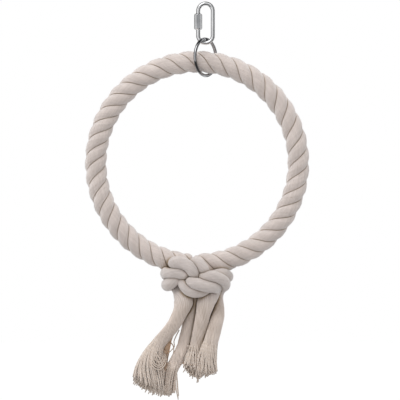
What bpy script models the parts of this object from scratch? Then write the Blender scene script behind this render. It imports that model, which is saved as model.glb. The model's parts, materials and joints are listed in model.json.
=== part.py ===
"""Ring bird swing: a knotted hoop of three-strand cotton rope, on a steel ring and a screw link.

Run it with blender --background --python part.py, or from the text editor.
Units are metres, +Z is up and the viewer looks along +Y, with +X to the right.
The origin is the hanging point: the inside of the screw link's top bow.
"""
import math

import bmesh
import bpy
import numpy as np
from mathutils import Matrix

MM = 0.001
WELD = 0.001 * MM

# Screw link: a bent bar whose gate is bridged by a threaded sleeve on the left leg
BAR_DIAMETER = 3.5 * MM
LINK_INSIDE_LENGTH = 31.5 * MM
LINK_INSIDE_WIDTH = 9.5 * MM
GATE_TOP = 9.3 * MM
GATE_GAP = 3.5 * MM
SLEEVE_TOP = 7.3 * MM
SLEEVE_LENGTH = 14.0 * MM
SLEEVE_ACROSS_CORNERS = 7.2 * MM
SLEEVE_CHAMFER = 0.9 * MM
SLEEVE_CORNER_SHARE = 0.985
SLEEVE_TURN = math.radians(30.0)
THREAD_CLEARANCE = 0.25 * MM
BOW_STEPS = 14
BAR_BEVEL_RESOLUTION = 3
TURNED_SIDES = 30
DRILLED_SIDES = 18

# Hanging ring: a welded ring of round wire, turned aside so that its left half passes in front of the rope
RING_WIRE = 2.8 * MM
RING_OUTSIDE_DIAMETER = 35.2 * MM
RING_TURN = math.radians(55.0)
RING_CLEARANCE = 0.25 * MM
RING_STEPS = 48
RING_SIDES = 8

# Rope hoop: three strands laid right-handed round a hoop of steel wire
HOOP_RADIUS = 90.0 * MM
HOOP_OFFSET_X = -7.5 * MM
HOOP_CENTRE_DROP = 139.9 * MM
ROPE_RADIUS = 9.75 * MM
STRAND_LOBE_OFFSET = 2.0 * MM
STRAND_COUNT = 3
STRAND_GAP = 0.4 * MM
CORE_CHANNEL_RADIUS = 2.35 * MM
CORE_WIRE_DIAMETER = 3.5 * MM
CORE_STEPS = 84
CORE_SIDES = 6
LOBE_SHARES = (-1.0, -0.62, -0.2, 0.2, 0.62, 1.0)
LAY_TURNS = 14.03
LAY_START = -0.659
LAY_SWAY = 0.147
LAY_SWAY_ANGLE = math.radians(45.0)
LAY_SEAT = math.radians(-30.0)
STATIONS_PER_TURN = 10

# Ends of the rope, as places along the hoop from its lowest point, left end first
ROPE_LEFT_END = 4.0 * MM
ROPE_RIGHT_END = -3.4 * MM
ROPE_END_TAPER = 8.0 * MM
ROPE_END_SCALE = 0.62

# Knot: each end of the rope is unlaid into its strands, which cross and then hang as tassels
TOUCH_GAP = 0.7 * MM
TASSEL_TOUCH_GAP = 1.4 * MM
ROPE_TOUCH_GAP = 0.45 * MM
CUT_GAP = 0.4 * MM
KNOT_STEP = 3.2 * MM
TASSEL_STEP = 8.0 * MM
TUBE_SIDES = 10
ROUTE_SAMPLES = 24
SPINE_STEP = 1.0 * MM
REACH_STEPS = 28
LEAST_REACH = 0.16
BEND_LIMIT = 0.82
LEAST_BEND = 1e-6
SELF_TOUCH_RADII = 3.2
NOSE_STATIONS = 3
NOSE_START = 0.12
NOSE_LEAST_SHARE = 0.22
TASSEL_SWELL = 18.0 * MM
MOUTH_LENGTH = 9.0 * MM
TASSEL_FAN_START = 0.62

# Each strand's route in millimetres from the hoop's lowest point: right, away from the viewer, up.
# The first list is the stretch in the knot, the second the tassel that hangs from it.
STRANDS = {
    "upper_left": {
        "radius": 5.6,
        "tassel_radius": 5.6,
        "mouth": 0.0,
        "fan": (1.0, 1.0),
        "knot": [(-22.6, -11.6, -0.4), (-21.2, -14.4, 1.0), (-18.8, -15.9, 1.8), (-15.6, -16.4, 1.8),
                 (-11.2, -16.8, 0.7), (-7.2, -17.2, -1.7), (-4.3, -16.8, -5.0), (-2.8, -14.6, -9.0),
                 (-2.5, -9.5, -13.0), (-2.9, -3.5, -17.6), (-3.2, -0.2, -24.0), (-3.4, 0.5, -30.8)],
        "tassel": [(-4.8, 1.5, -40.6), (-6.8, 2.5, -50.4), (-9.3, 3.0, -61.9), (-12.3, 3.0, -73.5),
                   (-17.8, 2.6, -84.6), (-23.4, 2.2, -94.8), (-26.1, 2.0, -105.5), (-27.8, 2.0, -115.5)],
    },
    "upper_right": {
        "radius": 5.2,
        "tassel_radius": 6.0,
        "mouth": 0.0,
        "fan": (1.0, 1.0),
        "knot": [(-5.5, -11.2, 1.8), (-2.2, -13.4, 2.2), (1.2, -14.7, 0.8), (3.9, -15.1, -2.0),
                 (5.8, -14.7, -5.3), (7.6, -13.4, -8.2), (10.4, -11.2, -10.0), (14.8, -9.2, -10.0),
                 (19.4, -8.4, -8.8), (23.6, -6.6, -8.4), (26.4, -2.8, -10.2), (27.0, 2.2, -11.0),
                 (24.4, 8.6, -9.8), (18.4, 13.4, -6.4), (11.4, 15.6, -3.2), (4.6, 16.2, -1.8),
                 (-1.4, 16.4, -3.8), (-4.6, 16.8, -9.0), (-4.6, 16.6, -14.8), (-3.3, 14.8, -20.8),
                 (-2.2, 12.8, -27.0), (-1.2, 11.8, -33.5)],
        "tassel": [(-0.9, 12.0, -44.2), (-1.6, 12.0, -55.7), (-3.4, 11.5, -67.5), (-5.2, 11.0, -78.5),
                   (-6.4, 10.5, -89.0)],
    },
    "left": {
        "radius": 5.4,
        "tassel_radius": 5.7,
        "mouth": 3.3,
        "fan": (2.3, 0.9),
        "knot": [(-8.0, -10.4, -11.6), (-12.2, -13.8, -8.9), (-17.8, -14.6, -6.9), (-22.4, -13.3, -6.7),
                 (-25.8, -9.3, -7.1), (-27.4, -3.0, -7.8), (-26.6, 3.0, -9.4), (-23.8, 6.2, -12.8),
                 (-19.8, 5.2, -18.2), (-16.0, 1.4, -23.4), (-13.2, -3.0, -27.9), (-12.0, -5.2, -31.7)],
        "tassel": [(-13.0, -5.9, -37.1), (-15.6, -5.9, -44.2), (-19.6, -5.4, -52.2), (-26.0, -4.6, -60.5),
                   (-33.6, -3.4, -69.5), (-39.2, -2.8, -79.0), (-42.0, -2.6, -89.0), (-43.4, -2.6, -99.0),
                   (-44.0, -2.6, -108.5)],
    },
    "lower": {
        "radius": 5.6,
        "tassel_radius": 5.5,
        "mouth": 0.0,
        "fan": (1.0, 1.0),
        "knot": [(16.0, 9.4, -11.0), (10.6, 11.2, -12.0), (4.2, 12.2, -12.8), (-2.4, 12.2, -14.0),
                 (-8.8, 13.4, -15.6), (-15.0, 14.0, -16.6), (-20.6, 12.2, -17.6), (-25.0, 7.2, -18.4),
                 (-26.4, 0.4, -18.2), (-25.3, -6.0, -17.4), (-22.8, -9.6, -15.6), (-19.6, -10.4, -13.2),
                 (-16.2, -9.8, -11.8), (-13.1, -10.3, -12.8), (-11.4, -12.2, -16.2), (-9.8, -13.4, -19.6),
                 (-6.8, -13.8, -22.3), (-2.4, -13.4, -23.6), (2.2, -12.0, -23.5), (6.0, -9.1, -22.6),
                 (8.6, -4.8, -22.0), (9.2, 0.8, -22.0), (6.2, 5.4, -23.2), (0.4, 6.4, -24.8),
                 (-5.6, 7.4, -26.2), (-10.4, 9.2, -28.6), (-13.0, 9.6, -33.0)],
        "tassel": [(-15.6, 9.8, -41.5), (-19.6, 9.6, -51.3), (-26.6, 9.2, -62.8), (-29.6, 9.0, -74.4),
                   (-31.6, 8.8, -85.0), (-33.6, 8.6, -95.7), (-35.4, 8.6, -105.5)],
    },
    "centre": {
        "radius": 5.6,
        "tassel_radius": 6.2,
        "mouth": 2.4,
        "fan": (1.1, 1.0),
        "knot": [(-7.6, -9.8, -15.0), (-6.8, -13.6, -14.8), (-4.2, -16.5, -15.2), (-0.2, -18.2, -16.6),
                 (4.8, -18.4, -18.0), (10.0, -17.6, -19.0), (14.4, -14.6, -19.2), (16.8, -9.8, -19.4),
                 (16.8, -4.6, -21.0), (14.6, -2.2, -24.8), (11.4, -3.4, -29.0), (8.3, -5.2, -33.0)],
        "tassel": [(6.3, -6.2, -39.7), (4.6, -5.6, -47.7), (2.7, -3.6, -57.5), (0.9, -1.8, -67.0),
                   (-0.9, -1.2, -76.0), (-2.8, -2.4, -86.0), (-3.8, -4.0, -95.5)],
    },
    "right": {
        "radius": 5.0,
        "tassel_radius": 6.2,
        "mouth": 0.0,
        "fan": (1.1, 0.9),
        "knot": [(2.6, -11.6, -11.6), (4.4, -14.6, -10.6), (7.6, -16.7, -10.3), (11.8, -17.9, -10.3),
                 (16.8, -17.4, -11.0), (21.4, -14.8, -13.0), (24.4, -10.8, -15.8), (24.4, -6.0, -18.6),
                 (21.8, -1.6, -20.8), (19.4, 1.8, -24.0), (18.2, 3.2, -28.6), (18.4, 2.6, -33.0)],
        "tassel": [(18.8, 0.4, -40.6), (16.9, -3.0, -51.3), (13.6, -7.0, -63.7), (10.8, -9.5, -74.5),
                   (8.8, -10.2, -85.0), (7.6, -10.4, -97.0)],
    },
}

# Finishes: base colour, roughness, metallic
COTTON = ((0.56, 0.50, 0.45), 0.95, 0.0)
PLATED_STEEL = ((0.72, 0.72, 0.72), 0.22, 1.0)
PLAIN_STEEL = ((0.45, 0.45, 0.45), 0.45, 1.0)


def clear_scene():
    """Remove every object that the opened file holds."""
    for item in list(bpy.data.objects):
        bpy.data.objects.remove(item, do_unlink=True)


def finish_with(item, finish):
    """Give the object a Principled material of its own, named after it."""
    colour, roughness, metallic = finish
    material = bpy.data.materials.new(item.name)
    material.use_nodes = True
    shader = material.node_tree.nodes["Principled BSDF"]
    shader.inputs["Base Color"].default_value = (*colour, 1.0)
    shader.inputs["Roughness"].default_value = roughness
    shader.inputs["Metallic"].default_value = metallic
    item.data.materials.append(material)


def add_object(name, data, parent=None, location=(0.0, 0.0, 0.0), finish=None):
    """Link an object to the scene at a place under its parent."""
    item = bpy.data.objects.new(name, data)
    bpy.context.scene.collection.objects.link(item)
    item.parent = parent
    item.location = location
    if finish is not None:
        finish_with(item, finish)
    return item


def mesh_from_bmesh(name, shape, smooth):
    """Turn a bmesh into mesh data with its faces looking outwards."""
    bmesh.ops.recalc_face_normals(shape, faces=shape.faces)
    data = bpy.data.meshes.new(name)
    shape.to_mesh(data)
    shape.free()
    if smooth:
        data.shade_smooth()
    return data


def revolve(profile, steps):
    """Spin a profile of (radius, height) points, closed on the Z axis, into a solid."""
    shape = bmesh.new()
    points = [shape.verts.new((radius, 0.0, height)) for radius, height in profile]
    edges = [shape.edges.new(pair) for pair in zip(points, points[1:])]
    bmesh.ops.spin(shape, geom=points + edges, axis=(0.0, 0.0, 1.0), cent=(0.0, 0.0, 0.0),
                   steps=steps, angle=math.tau, use_merge=True)
    bmesh.ops.remove_doubles(shape, verts=shape.verts, dist=WELD)
    return shape


def wire_ring(name, radius, wire_diameter, steps, sides):
    """Spin a wire's round section about the Y axis into a closed ring in the XZ plane."""
    shape = bmesh.new()
    place = Matrix.Translation((radius, 0.0, 0.0))
    section = bmesh.ops.create_circle(shape, segments=sides, radius=wire_diameter / 2.0,
                                      matrix=place)
    geometry = section["verts"] + list(shape.edges)
    bmesh.ops.rotate(shape, verts=section["verts"], cent=(radius, 0.0, 0.0),
                     matrix=Matrix.Rotation(math.radians(180.0 / sides), 3, "Z"))
    bmesh.ops.spin(shape, geom=geometry, axis=(0.0, 1.0, 0.0), cent=(0.0, 0.0, 0.0),
                   steps=steps, angle=math.tau, use_merge=True)
    bmesh.ops.remove_doubles(shape, verts=shape.verts, dist=WELD)
    return mesh_from_bmesh(name, shape, smooth=True)


def arc(centre_z, radius, start, end, steps):
    """Points of an arc in the XZ plane, from one angle to another."""
    angles = np.linspace(start, end, steps + 1)
    return [(radius * math.cos(angle), 0.0, centre_z + radius * math.sin(angle)) for angle in angles]


def make_link_body():
    """Bend the link's bar: up the left leg, round the top bow, down the right leg and back to the gate."""
    bow_radius = (LINK_INSIDE_WIDTH + BAR_DIAMETER) / 2.0
    top_centre = -LINK_INSIDE_WIDTH / 2.0
    bottom_centre = -LINK_INSIDE_LENGTH + LINK_INSIDE_WIDTH / 2.0
    route = [(-bow_radius, 0.0, -GATE_TOP)]
    route += arc(top_centre, bow_radius, math.pi, 0.0, BOW_STEPS)
    route += arc(bottom_centre, bow_radius, 0.0, -math.pi, BOW_STEPS)
    route += [(-bow_radius, 0.0, -GATE_TOP - GATE_GAP)]
    bar = bpy.data.curves.new("quick_link_body", "CURVE")
    bar.dimensions = "3D"
    bar.bevel_depth = BAR_DIAMETER / 2.0
    bar.bevel_resolution = BAR_BEVEL_RESOLUTION
    bar.use_fill_caps = True
    spline = bar.splines.new("POLY")
    spline.points.add(len(route) - 1)
    for point, place in zip(spline.points, route):
        point.co = (*place, 1.0)
    return add_object("quick_link_body", bar, finish=PLATED_STEEL)


def add_tool(name, shape, parent, location):
    """Add a helper solid that only cuts another one and is never shown."""
    tool = add_object(name, mesh_from_bmesh(name, shape, smooth=False), parent, location)
    tool.hide_render = True
    tool.display_type = "WIRE"
    return tool


def add_boolean(item, tool, operation):
    """Cut or trim an object with a helper solid."""
    cut = item.modifiers.new(tool.name, "BOOLEAN")
    cut.operation = operation
    cut.solver = "EXACT"
    cut.object = tool


def make_sleeve(link):
    """Make the gate's sleeve: a hexagon bar, turned to a chamfer at both ends and bored through."""
    axis_x = -(LINK_INSIDE_WIDTH + BAR_DIAMETER) / 2.0
    place = (axis_x, 0.0, -SLEEVE_TOP - SLEEVE_LENGTH / 2.0)
    corner = SLEEVE_ACROSS_CORNERS / 2.0
    half = SLEEVE_LENGTH / 2.0
    shape = bmesh.new()
    bmesh.ops.create_cone(shape, cap_ends=True, segments=6, radius1=corner, radius2=corner,
                          depth=SLEEVE_LENGTH, matrix=Matrix.Rotation(SLEEVE_TURN, 4, "Z"))
    sleeve = add_object("quick_link_sleeve", mesh_from_bmesh("quick_link_sleeve", shape, smooth=False),
                        link, place, PLATED_STEEL)
    waist = corner * SLEEVE_CORNER_SHARE
    nose = corner - SLEEVE_CHAMFER
    reach = half + BAR_DIAMETER
    turned = revolve([(0.0, -half), (nose, -half), (waist, SLEEVE_CHAMFER - half),
                      (waist, half - SLEEVE_CHAMFER), (nose, half), (0.0, half)], TURNED_SIDES)
    add_boolean(sleeve, add_tool("sleeve_turning", turned, link, place), "INTERSECT")
    bore = BAR_DIAMETER / 2.0 + THREAD_CLEARANCE
    drill = revolve([(0.0, -reach), (bore, -reach), (bore, reach), (0.0, reach)], DRILLED_SIDES)
    add_boolean(sleeve, add_tool("sleeve_drill", drill, link, place), "DIFFERENCE")


def make_hanging_ring(link):
    """Hang the wire ring in the link's lower bow, with its origin on the bow's wire, where it swings."""
    bow_centre = -LINK_INSIDE_LENGTH - BAR_DIAMETER / 2.0
    wire_centre_radius = (RING_OUTSIDE_DIAMETER - RING_WIRE) / 2.0
    top_wire = -LINK_INSIDE_LENGTH + RING_CLEARANCE + RING_WIRE / 2.0
    data = wire_ring("hanging_ring", wire_centre_radius, RING_WIRE, RING_STEPS, RING_SIDES)
    drop = top_wire - wire_centre_radius - bow_centre
    data.transform(Matrix.Translation((0.0, 0.0, drop)) @ Matrix.Rotation(RING_TURN, 4, "Z"))
    return add_object("hanging_ring", data, link, (0.0, 0.0, bow_centre), PLATED_STEEL)


def lay_angle(along):
    """Angle of the first strand's middle round the rope's axis, at an angle along the hoop.

    The lay turns steadily, with one slow sway: it is a little tighter low on the left.
    """
    turns = LAY_START + LAY_TURNS * along / math.tau + LAY_SWAY * np.sin(along - LAY_SWAY_ANGLE)
    return LAY_SEAT - math.tau * turns


def rope_scale(along):
    """Share of the rope's full radius at an angle along the hoop: both ends are rounded off."""
    left = (along * HOOP_RADIUS - ROPE_LEFT_END) / ROPE_END_TAPER
    right = ((math.tau - along) * HOOP_RADIUS - ROPE_RIGHT_END) / ROPE_END_TAPER
    inward = 1.0 - np.clip(np.minimum(left, right), 0.0, 1.0)
    return ROPE_END_SCALE + (1.0 - ROPE_END_SCALE) * np.sqrt(1.0 - inward ** 2)


def hoop_frame(along):
    """Point on the hoop and its outward and backward directions, from the lowest point over the left."""
    zero = np.zeros_like(along)
    outward = np.stack([-np.sin(along), zero, -np.cos(along)], axis=-1)
    backward = np.stack([zero, zero + 1.0, zero], axis=-1)
    return HOOP_RADIUS * outward, outward, backward


def lobe_reach(angle):
    """Radius of a strand's lobe at an angle from its middle: a circle set out from the rope's axis."""
    lobe_radius = ROPE_RADIUS - STRAND_LOBE_OFFSET
    side = STRAND_LOBE_OFFSET * math.sin(angle)
    return STRAND_LOBE_OFFSET * math.cos(angle) + math.sqrt(lobe_radius ** 2 - side ** 2)


def strand_profile():
    """Section of one strand as radius and angle: a rounded lobe outside, flat flanks, a hollow inside."""
    half_sector = math.pi / STRAND_COUNT
    flank = half_sector - math.asin(STRAND_GAP / 2.0 / lobe_reach(half_sector))
    inner_flank = half_sector - math.asin(STRAND_GAP / 2.0 / CORE_CHANNEL_RADIUS)
    outer = [(lobe_reach(share * flank), share * flank) for share in LOBE_SHARES]
    inner = [(CORE_CHANNEL_RADIUS, share * inner_flank) for share in (1.0, 0.0, -1.0)]
    return outer, inner


def loft(name, rows, crossed):
    """Skin rows of section points into a closed solid; crossed says how each column's quads split."""
    count, sides = rows.shape[:2]
    points = rows.reshape(-1, 3).tolist()
    faces = []
    for row in range(count - 1):
        for side in range(sides):
            here, there = row * sides + side, row * sides + (side + 1) % sides
            above, beyond = here + sides, there + sides
            if crossed[side]:
                faces += [(here, there, above), (there, beyond, above)]
            else:
                faces += [(here, there, beyond), (here, beyond, above)]
    for row, step in ((0, 1), (count - 1, -1)):
        points.append(rows[row].mean(axis=0).tolist())
        ring = [row * sides + side for side in range(sides)]
        for one, two in zip(ring, ring[1:] + ring[:1]):
            faces.append((one, len(points) - 1, two)[::step])
    shape = bmesh.new()
    corners = [shape.verts.new(point) for point in points]
    for face in faces:
        shape.faces.new([corners[index] for index in face])
    return mesh_from_bmesh(name, shape, smooth=True)


def make_rope(pivot):
    """Lay the three strands round the hoop, each a lobe that turns about the rope's axis as it goes."""
    start, end = ROPE_LEFT_END / HOOP_RADIUS, math.tau - ROPE_RIGHT_END / HOOP_RADIUS
    count = round(LAY_TURNS * STATIONS_PER_TURN) + 1
    along = np.linspace(start, end, count)
    centre, outward, backward = hoop_frame(along)
    outer, inner = strand_profile()
    profile = np.array(outer + inner)
    is_outer = np.arange(len(profile)) < len(outer)
    radius = np.where(is_outer, profile[:, 0] * rope_scale(along)[:, None], profile[:, 0])
    # The flanks of neighbours split the same way, so that they stay a gap apart
    crossed = [False] * (len(outer) - 1) + [True] * len(inner) + [False]
    for strand in range(STRAND_COUNT):
        angle = lay_angle(along)[:, None] + profile[:, 1] + strand * math.tau / STRAND_COUNT
        across = np.cos(angle)[..., None] * outward[:, None] + np.sin(angle)[..., None] * backward[:, None]
        rows = centre[:, None] + radius[..., None] * across
        name = f"rope_strand_{strand + 1}"
        add_object(name, loft(name, rows, crossed), pivot, finish=COTTON)


def smooth_route(points):
    """Draw a fine smooth curve through hand-placed points and return it in short steps."""
    points = np.array(points) * MM
    padded = np.vstack([2 * points[0] - points[1], points, 2 * points[-1] - points[-2]])
    share = np.linspace(0.0, 1.0, ROUTE_SAMPLES, endpoint=False)[:, None]
    pieces = []
    for before, start, end, after in zip(padded, padded[1:], padded[2:], padded[3:]):
        linear = end - before
        square = 2 * before - 5 * start + 4 * end - after
        cubic = 3 * start - before - 3 * end + after
        pieces.append(0.5 * (2 * start + linear * share + square * share ** 2 + cubic * share ** 3))
    return np.vstack(pieces + [points[-1:]])


def route_lengths(route):
    """Distance along a route at each of its points."""
    steps = np.linalg.norm(np.diff(route, axis=0), axis=1)
    return np.concatenate([[0.0], np.cumsum(steps)])


def place_stations(route, distances):
    """Points of a route at the given distances along it."""
    lengths = route_lengths(route)
    return np.stack([np.interp(distances, lengths, route[:, axis]) for axis in range(3)], axis=-1)


def section_directions(tangents):
    """Directions round each section, carried along the route with as little turning as possible."""
    side = np.eye(3)[np.argmin(np.abs(tangents[0]))]
    angles = np.arange(TUBE_SIDES) * math.tau / TUBE_SIDES
    rows = []
    for tangent in tangents:
        side = side - tangent * np.dot(side, tangent)
        side = side / np.linalg.norm(side)
        other = np.cross(tangent, side)
        rows.append(np.cos(angles)[:, None] * side + np.sin(angles)[:, None] * other)
    return np.array(rows)


class Strand:
    """One strand from where it leaves the rope's lay, through the knot, to the end of its tassel."""

    def __init__(self, name, plan):
        self.name = name
        lowest = np.array([0.0, 0.0, -HOOP_RADIUS])
        route = smooth_route(plan["knot"] + plan["tassel"]) + lowest
        lengths = route_lengths(route)
        self.cut = lengths[(len(plan["knot"]) - 1) * ROUTE_SAMPLES]
        self.length = lengths[-1]
        self.knot_radius = plan["radius"] * MM
        self.tassel_radius = plan["tassel_radius"] * MM
        self.mouth = plan["mouth"] * MM
        self.fan = plan["fan"]
        self.route = route
        self.spine_places = np.arange(0.0, self.length, SPINE_STEP)
        self.spine = place_stations(route, self.spine_places)
        self.spine_radius = self.radius_at(self.spine_places)

    def radius_at(self, distances):
        """Round radius along the strand: the knot's tight strand, a wider mouth at the cut, the looser tassel."""
        swell = np.clip((distances - self.cut) / TASSEL_SWELL, 0.0, 1.0)
        swell = swell * swell * (3.0 - 2.0 * swell)
        mouth = self.mouth * np.exp(-((distances - self.cut) / MOUTH_LENGTH) ** 2)
        return self.knot_radius + (self.tassel_radius - self.knot_radius) * swell + mouth

    def stations(self):
        """Distances of the sections: closer in the knot, with a rounded nose, wider along the tassel."""
        knot_count = math.ceil(self.cut / KNOT_STEP) + 1
        knot = np.linspace(0.0, self.cut - CUT_GAP / 2.0, knot_count)
        nose = self.knot_radius * (1.0 - np.cos(np.linspace(NOSE_START, math.pi / 2.0, NOSE_STATIONS)))
        knot = np.concatenate([nose[:-1], knot[knot > nose[-1]]])
        tassel_count = math.ceil((self.length - self.cut) / TASSEL_STEP) + 1
        tassel = np.linspace(self.cut + CUT_GAP / 2.0, self.length, tassel_count)
        return knot, tassel

    def nose_share(self, distances):
        """Share of the radius that is left near the strand's rounded start."""
        inward = 1.0 - np.clip(distances / self.knot_radius, 0.0, 1.0)
        return np.maximum(np.sqrt(1.0 - inward ** 2), NOSE_LEAST_SHARE)

    def sections(self, distances, neighbours):
        """Section points at each distance, pressed against the neighbours, the rope and itself."""
        centre = place_stations(self.route, distances)
        ahead = place_stations(self.route, np.minimum(distances + SPINE_STEP, self.length))
        behind = place_stations(self.route, np.maximum(distances - SPINE_STEP, 0.0))
        tangents = ahead - behind
        tangents = tangents / np.linalg.norm(tangents, axis=1)[:, None]
        bend = (ahead - 2.0 * centre + behind) / SPINE_STEP ** 2
        bend = bend - tangents * np.sum(bend * tangents, axis=1)[:, None]
        around = section_directions(tangents)
        radius = self.radius_at(distances) * self.nose_share(distances)
        fan = np.clip((distances - self.cut) / (self.length - self.cut), 0.0, 1.0)
        fan = np.clip((fan - TASSEL_FAN_START) / (1.0 - TASSEL_FAN_START), 0.0, 1.0)
        inward_bend = np.maximum(np.einsum("ijk,ik->ij", around, bend), LEAST_BEND)
        limit = np.minimum(1.0, BEND_LIMIT / (inward_bend * radius[:, None]))
        share = np.linspace(LEAST_REACH, 1.0, REACH_STEPS)
        reach = share * limit[..., None] * radius[:, None, None]
        points = centre[:, None, None] + reach[..., None] * around[:, :, None]
        own_depth = reach - self.radius_at(distances)[:, None, None]
        gap = np.where(distances > self.cut, TASSEL_TOUCH_GAP, TOUCH_GAP)[:, None, None]
        free = rope_depth(points) >= ROPE_TOUCH_GAP
        for other in neighbours:
            allowed = None
            if other is self:
                apart = np.abs(self.spine_places - distances[:, None])
                allowed = apart > SELF_TOUCH_RADII * self.knot_radius
            depth = skin_depth(points, other.spine, other.spine_radius, allowed)
            free &= depth - own_depth >= gap
        kept = np.maximum(np.minimum.accumulate(free, axis=2).sum(axis=2) - 1, 0)
        reach = np.take_along_axis(reach, kept[..., None], axis=2)[..., 0]
        spread = around * reach[..., None]
        wide = 1.0 + (self.fan[0] - 1.0) * fan[:, None]
        deep = 1.0 + (self.fan[1] - 1.0) * fan[:, None]
        spread[..., 0] *= wide
        spread[..., 1] *= deep
        return centre[:, None] + spread


def skin_depth(points, spine, spine_radius, allowed=None):
    """Least signed distance from each point to another strand's round skin."""
    least = np.full(points.shape[:-1], np.inf)
    for index, (place, radius) in enumerate(zip(spine, spine_radius)):
        depth = np.linalg.norm(points - place, axis=-1) - radius
        if allowed is not None:
            depth = np.where(allowed[:, index, None, None], depth, np.inf)
        least = np.minimum(least, depth)
    return least


def rope_depth(points):
    """Signed distance from each point to the rope's skin, in the hoop's own frame."""
    along = np.mod(np.arctan2(-points[..., 0], -points[..., 2]), math.tau)
    flat = np.hypot(points[..., 0], points[..., 2]) - HOOP_RADIUS
    scale = np.maximum(rope_scale(along), rope_scale(along + math.tau))
    return np.hypot(flat, points[..., 1]) - ROPE_RADIUS * scale


def make_knot_and_tassels(pivot):
    """Tie the six strand ends: each keeps to its side of the mid-surface where two of them press."""
    strands = [Strand(name, plan) for name, plan in STRANDS.items()]
    straight = [False] * TUBE_SIDES
    for strand in strands:
        for part, distances in zip(("knot", "tassel"), strand.stations()):
            name = f"{part}_strand_{strand.name}" if part == "knot" else f"tassel_{strand.name}"
            rows = strand.sections(distances, strands)
            add_object(name, loft(name, rows, straight), pivot, finish=COTTON)


def main():
    """Build the swing from the hanging point down."""
    clear_scene()
    link = make_link_body()
    make_sleeve(link)
    ring = make_hanging_ring(link)
    pivot = add_object("rope_ring_pivot", None, ring)
    pivot.location = (HOOP_OFFSET_X, 0.0, -HOOP_CENTRE_DROP - ring.location.z)
    core = wire_ring("core_hoop", HOOP_RADIUS, CORE_WIRE_DIAMETER, CORE_STEPS, CORE_SIDES)
    add_object("core_hoop", core, pivot, finish=PLAIN_STEEL)
    make_rope(pivot)
    make_knot_and_tassels(pivot)


main()
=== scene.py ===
"""Looks of a ring bird swing: a hoop of laid cotton rope with a frayed knot, a ring and a screw link."""

import json
import math
from functools import lru_cache

import bpy
import numpy as np
from bpy.props import FloatProperty, FloatVectorProperty, IntProperty, PointerProperty
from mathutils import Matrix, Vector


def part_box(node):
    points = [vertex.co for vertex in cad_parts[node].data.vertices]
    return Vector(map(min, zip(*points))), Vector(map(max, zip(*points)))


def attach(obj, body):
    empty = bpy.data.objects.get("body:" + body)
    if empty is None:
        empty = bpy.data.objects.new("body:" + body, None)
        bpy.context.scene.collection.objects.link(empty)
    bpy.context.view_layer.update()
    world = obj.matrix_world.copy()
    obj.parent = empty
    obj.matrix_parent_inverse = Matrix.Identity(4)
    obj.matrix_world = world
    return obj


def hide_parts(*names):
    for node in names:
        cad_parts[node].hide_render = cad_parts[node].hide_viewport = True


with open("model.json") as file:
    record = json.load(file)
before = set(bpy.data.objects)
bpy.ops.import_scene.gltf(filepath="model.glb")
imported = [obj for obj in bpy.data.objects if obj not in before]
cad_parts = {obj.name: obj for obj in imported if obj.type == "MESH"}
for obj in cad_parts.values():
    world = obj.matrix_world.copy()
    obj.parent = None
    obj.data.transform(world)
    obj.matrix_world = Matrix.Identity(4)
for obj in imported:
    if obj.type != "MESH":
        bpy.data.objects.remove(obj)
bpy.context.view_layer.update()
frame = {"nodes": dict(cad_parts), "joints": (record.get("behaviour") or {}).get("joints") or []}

bl_info = {
    "name": "Ring bird swing",
    "version": (1, 0, 0),
    "blender": (4, 5, 0),
    "location": "3D View > Sidebar > Swing",
    "description": "Builds the looks of a rope ring swing round its packed CAD frame",
    "category": "Object",
}

# Units, directions, a distance in metres that is past anything here, and plain white
MM = 0.001
TURN = 2.0 * math.pi
AWAY = np.array([0.0, 1.0, 0.0])
UP = np.array([0.0, 0.0, 1.0])
FAR = 1.0
WHITE = (1.0, 1.0, 1.0, 1.0)

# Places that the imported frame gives
JOINT_PLACE = {joint["name"]: joint.get("pos_m") for joint in frame["joints"]}
HOOP_CENTRE = np.array(JOINT_PLACE["hoop_turn"], float)
RING_LOW, RING_HIGH = (np.array(corner, float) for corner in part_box("hanging_ring"))
SLEEVE_LOW, SLEEVE_HIGH = (np.array(corner, float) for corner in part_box("quick_link_sleeve"))

# Lay of the rope, as the part's source has it
HOOP_RADIUS = 90.0 * MM
LAY_TURNS = 14.03
LAY_START = -0.659
LAY_SWAY = 0.147
LAY_SWAY_ANGLE = math.radians(45.0)
LAY_SEAT = math.radians(-30.0)
ROPE_LEFT_END = 4.0 * MM
ROPE_RIGHT_END = -3.4 * MM
ROPE_END_TAPER = 8.0 * MM
ROPE_END_SCALE = 0.62
STRAND_COUNT = 3

# One strand of the rope: how finely it is drawn, how its face strays, its hidden inside and the painted
# shade in its crease
ROPE_STATIONS = 620
ROPE_SEED = 40
FACE_COLUMNS = 31
FACE_CROWDING = 1.7
FACE_LOW = 6.0 * MM
FACE_HIGH = 8.0 * MM
WANDER_ALONG = 21.0
WANDER_ROUND = 4.0
FLANK_GAP = 0.004
FLANK_RADII = np.array([6.6, 5.0, 3.2]) * MM
HEART_RADIUS = 2.6 * MM
CREASE_PAINTED_SHADE = 0.85
CREASE_SHOULDERS = 1.4
CREASE_FALL = 1.6
KNOT_SPAN = 60.0 * MM
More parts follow.
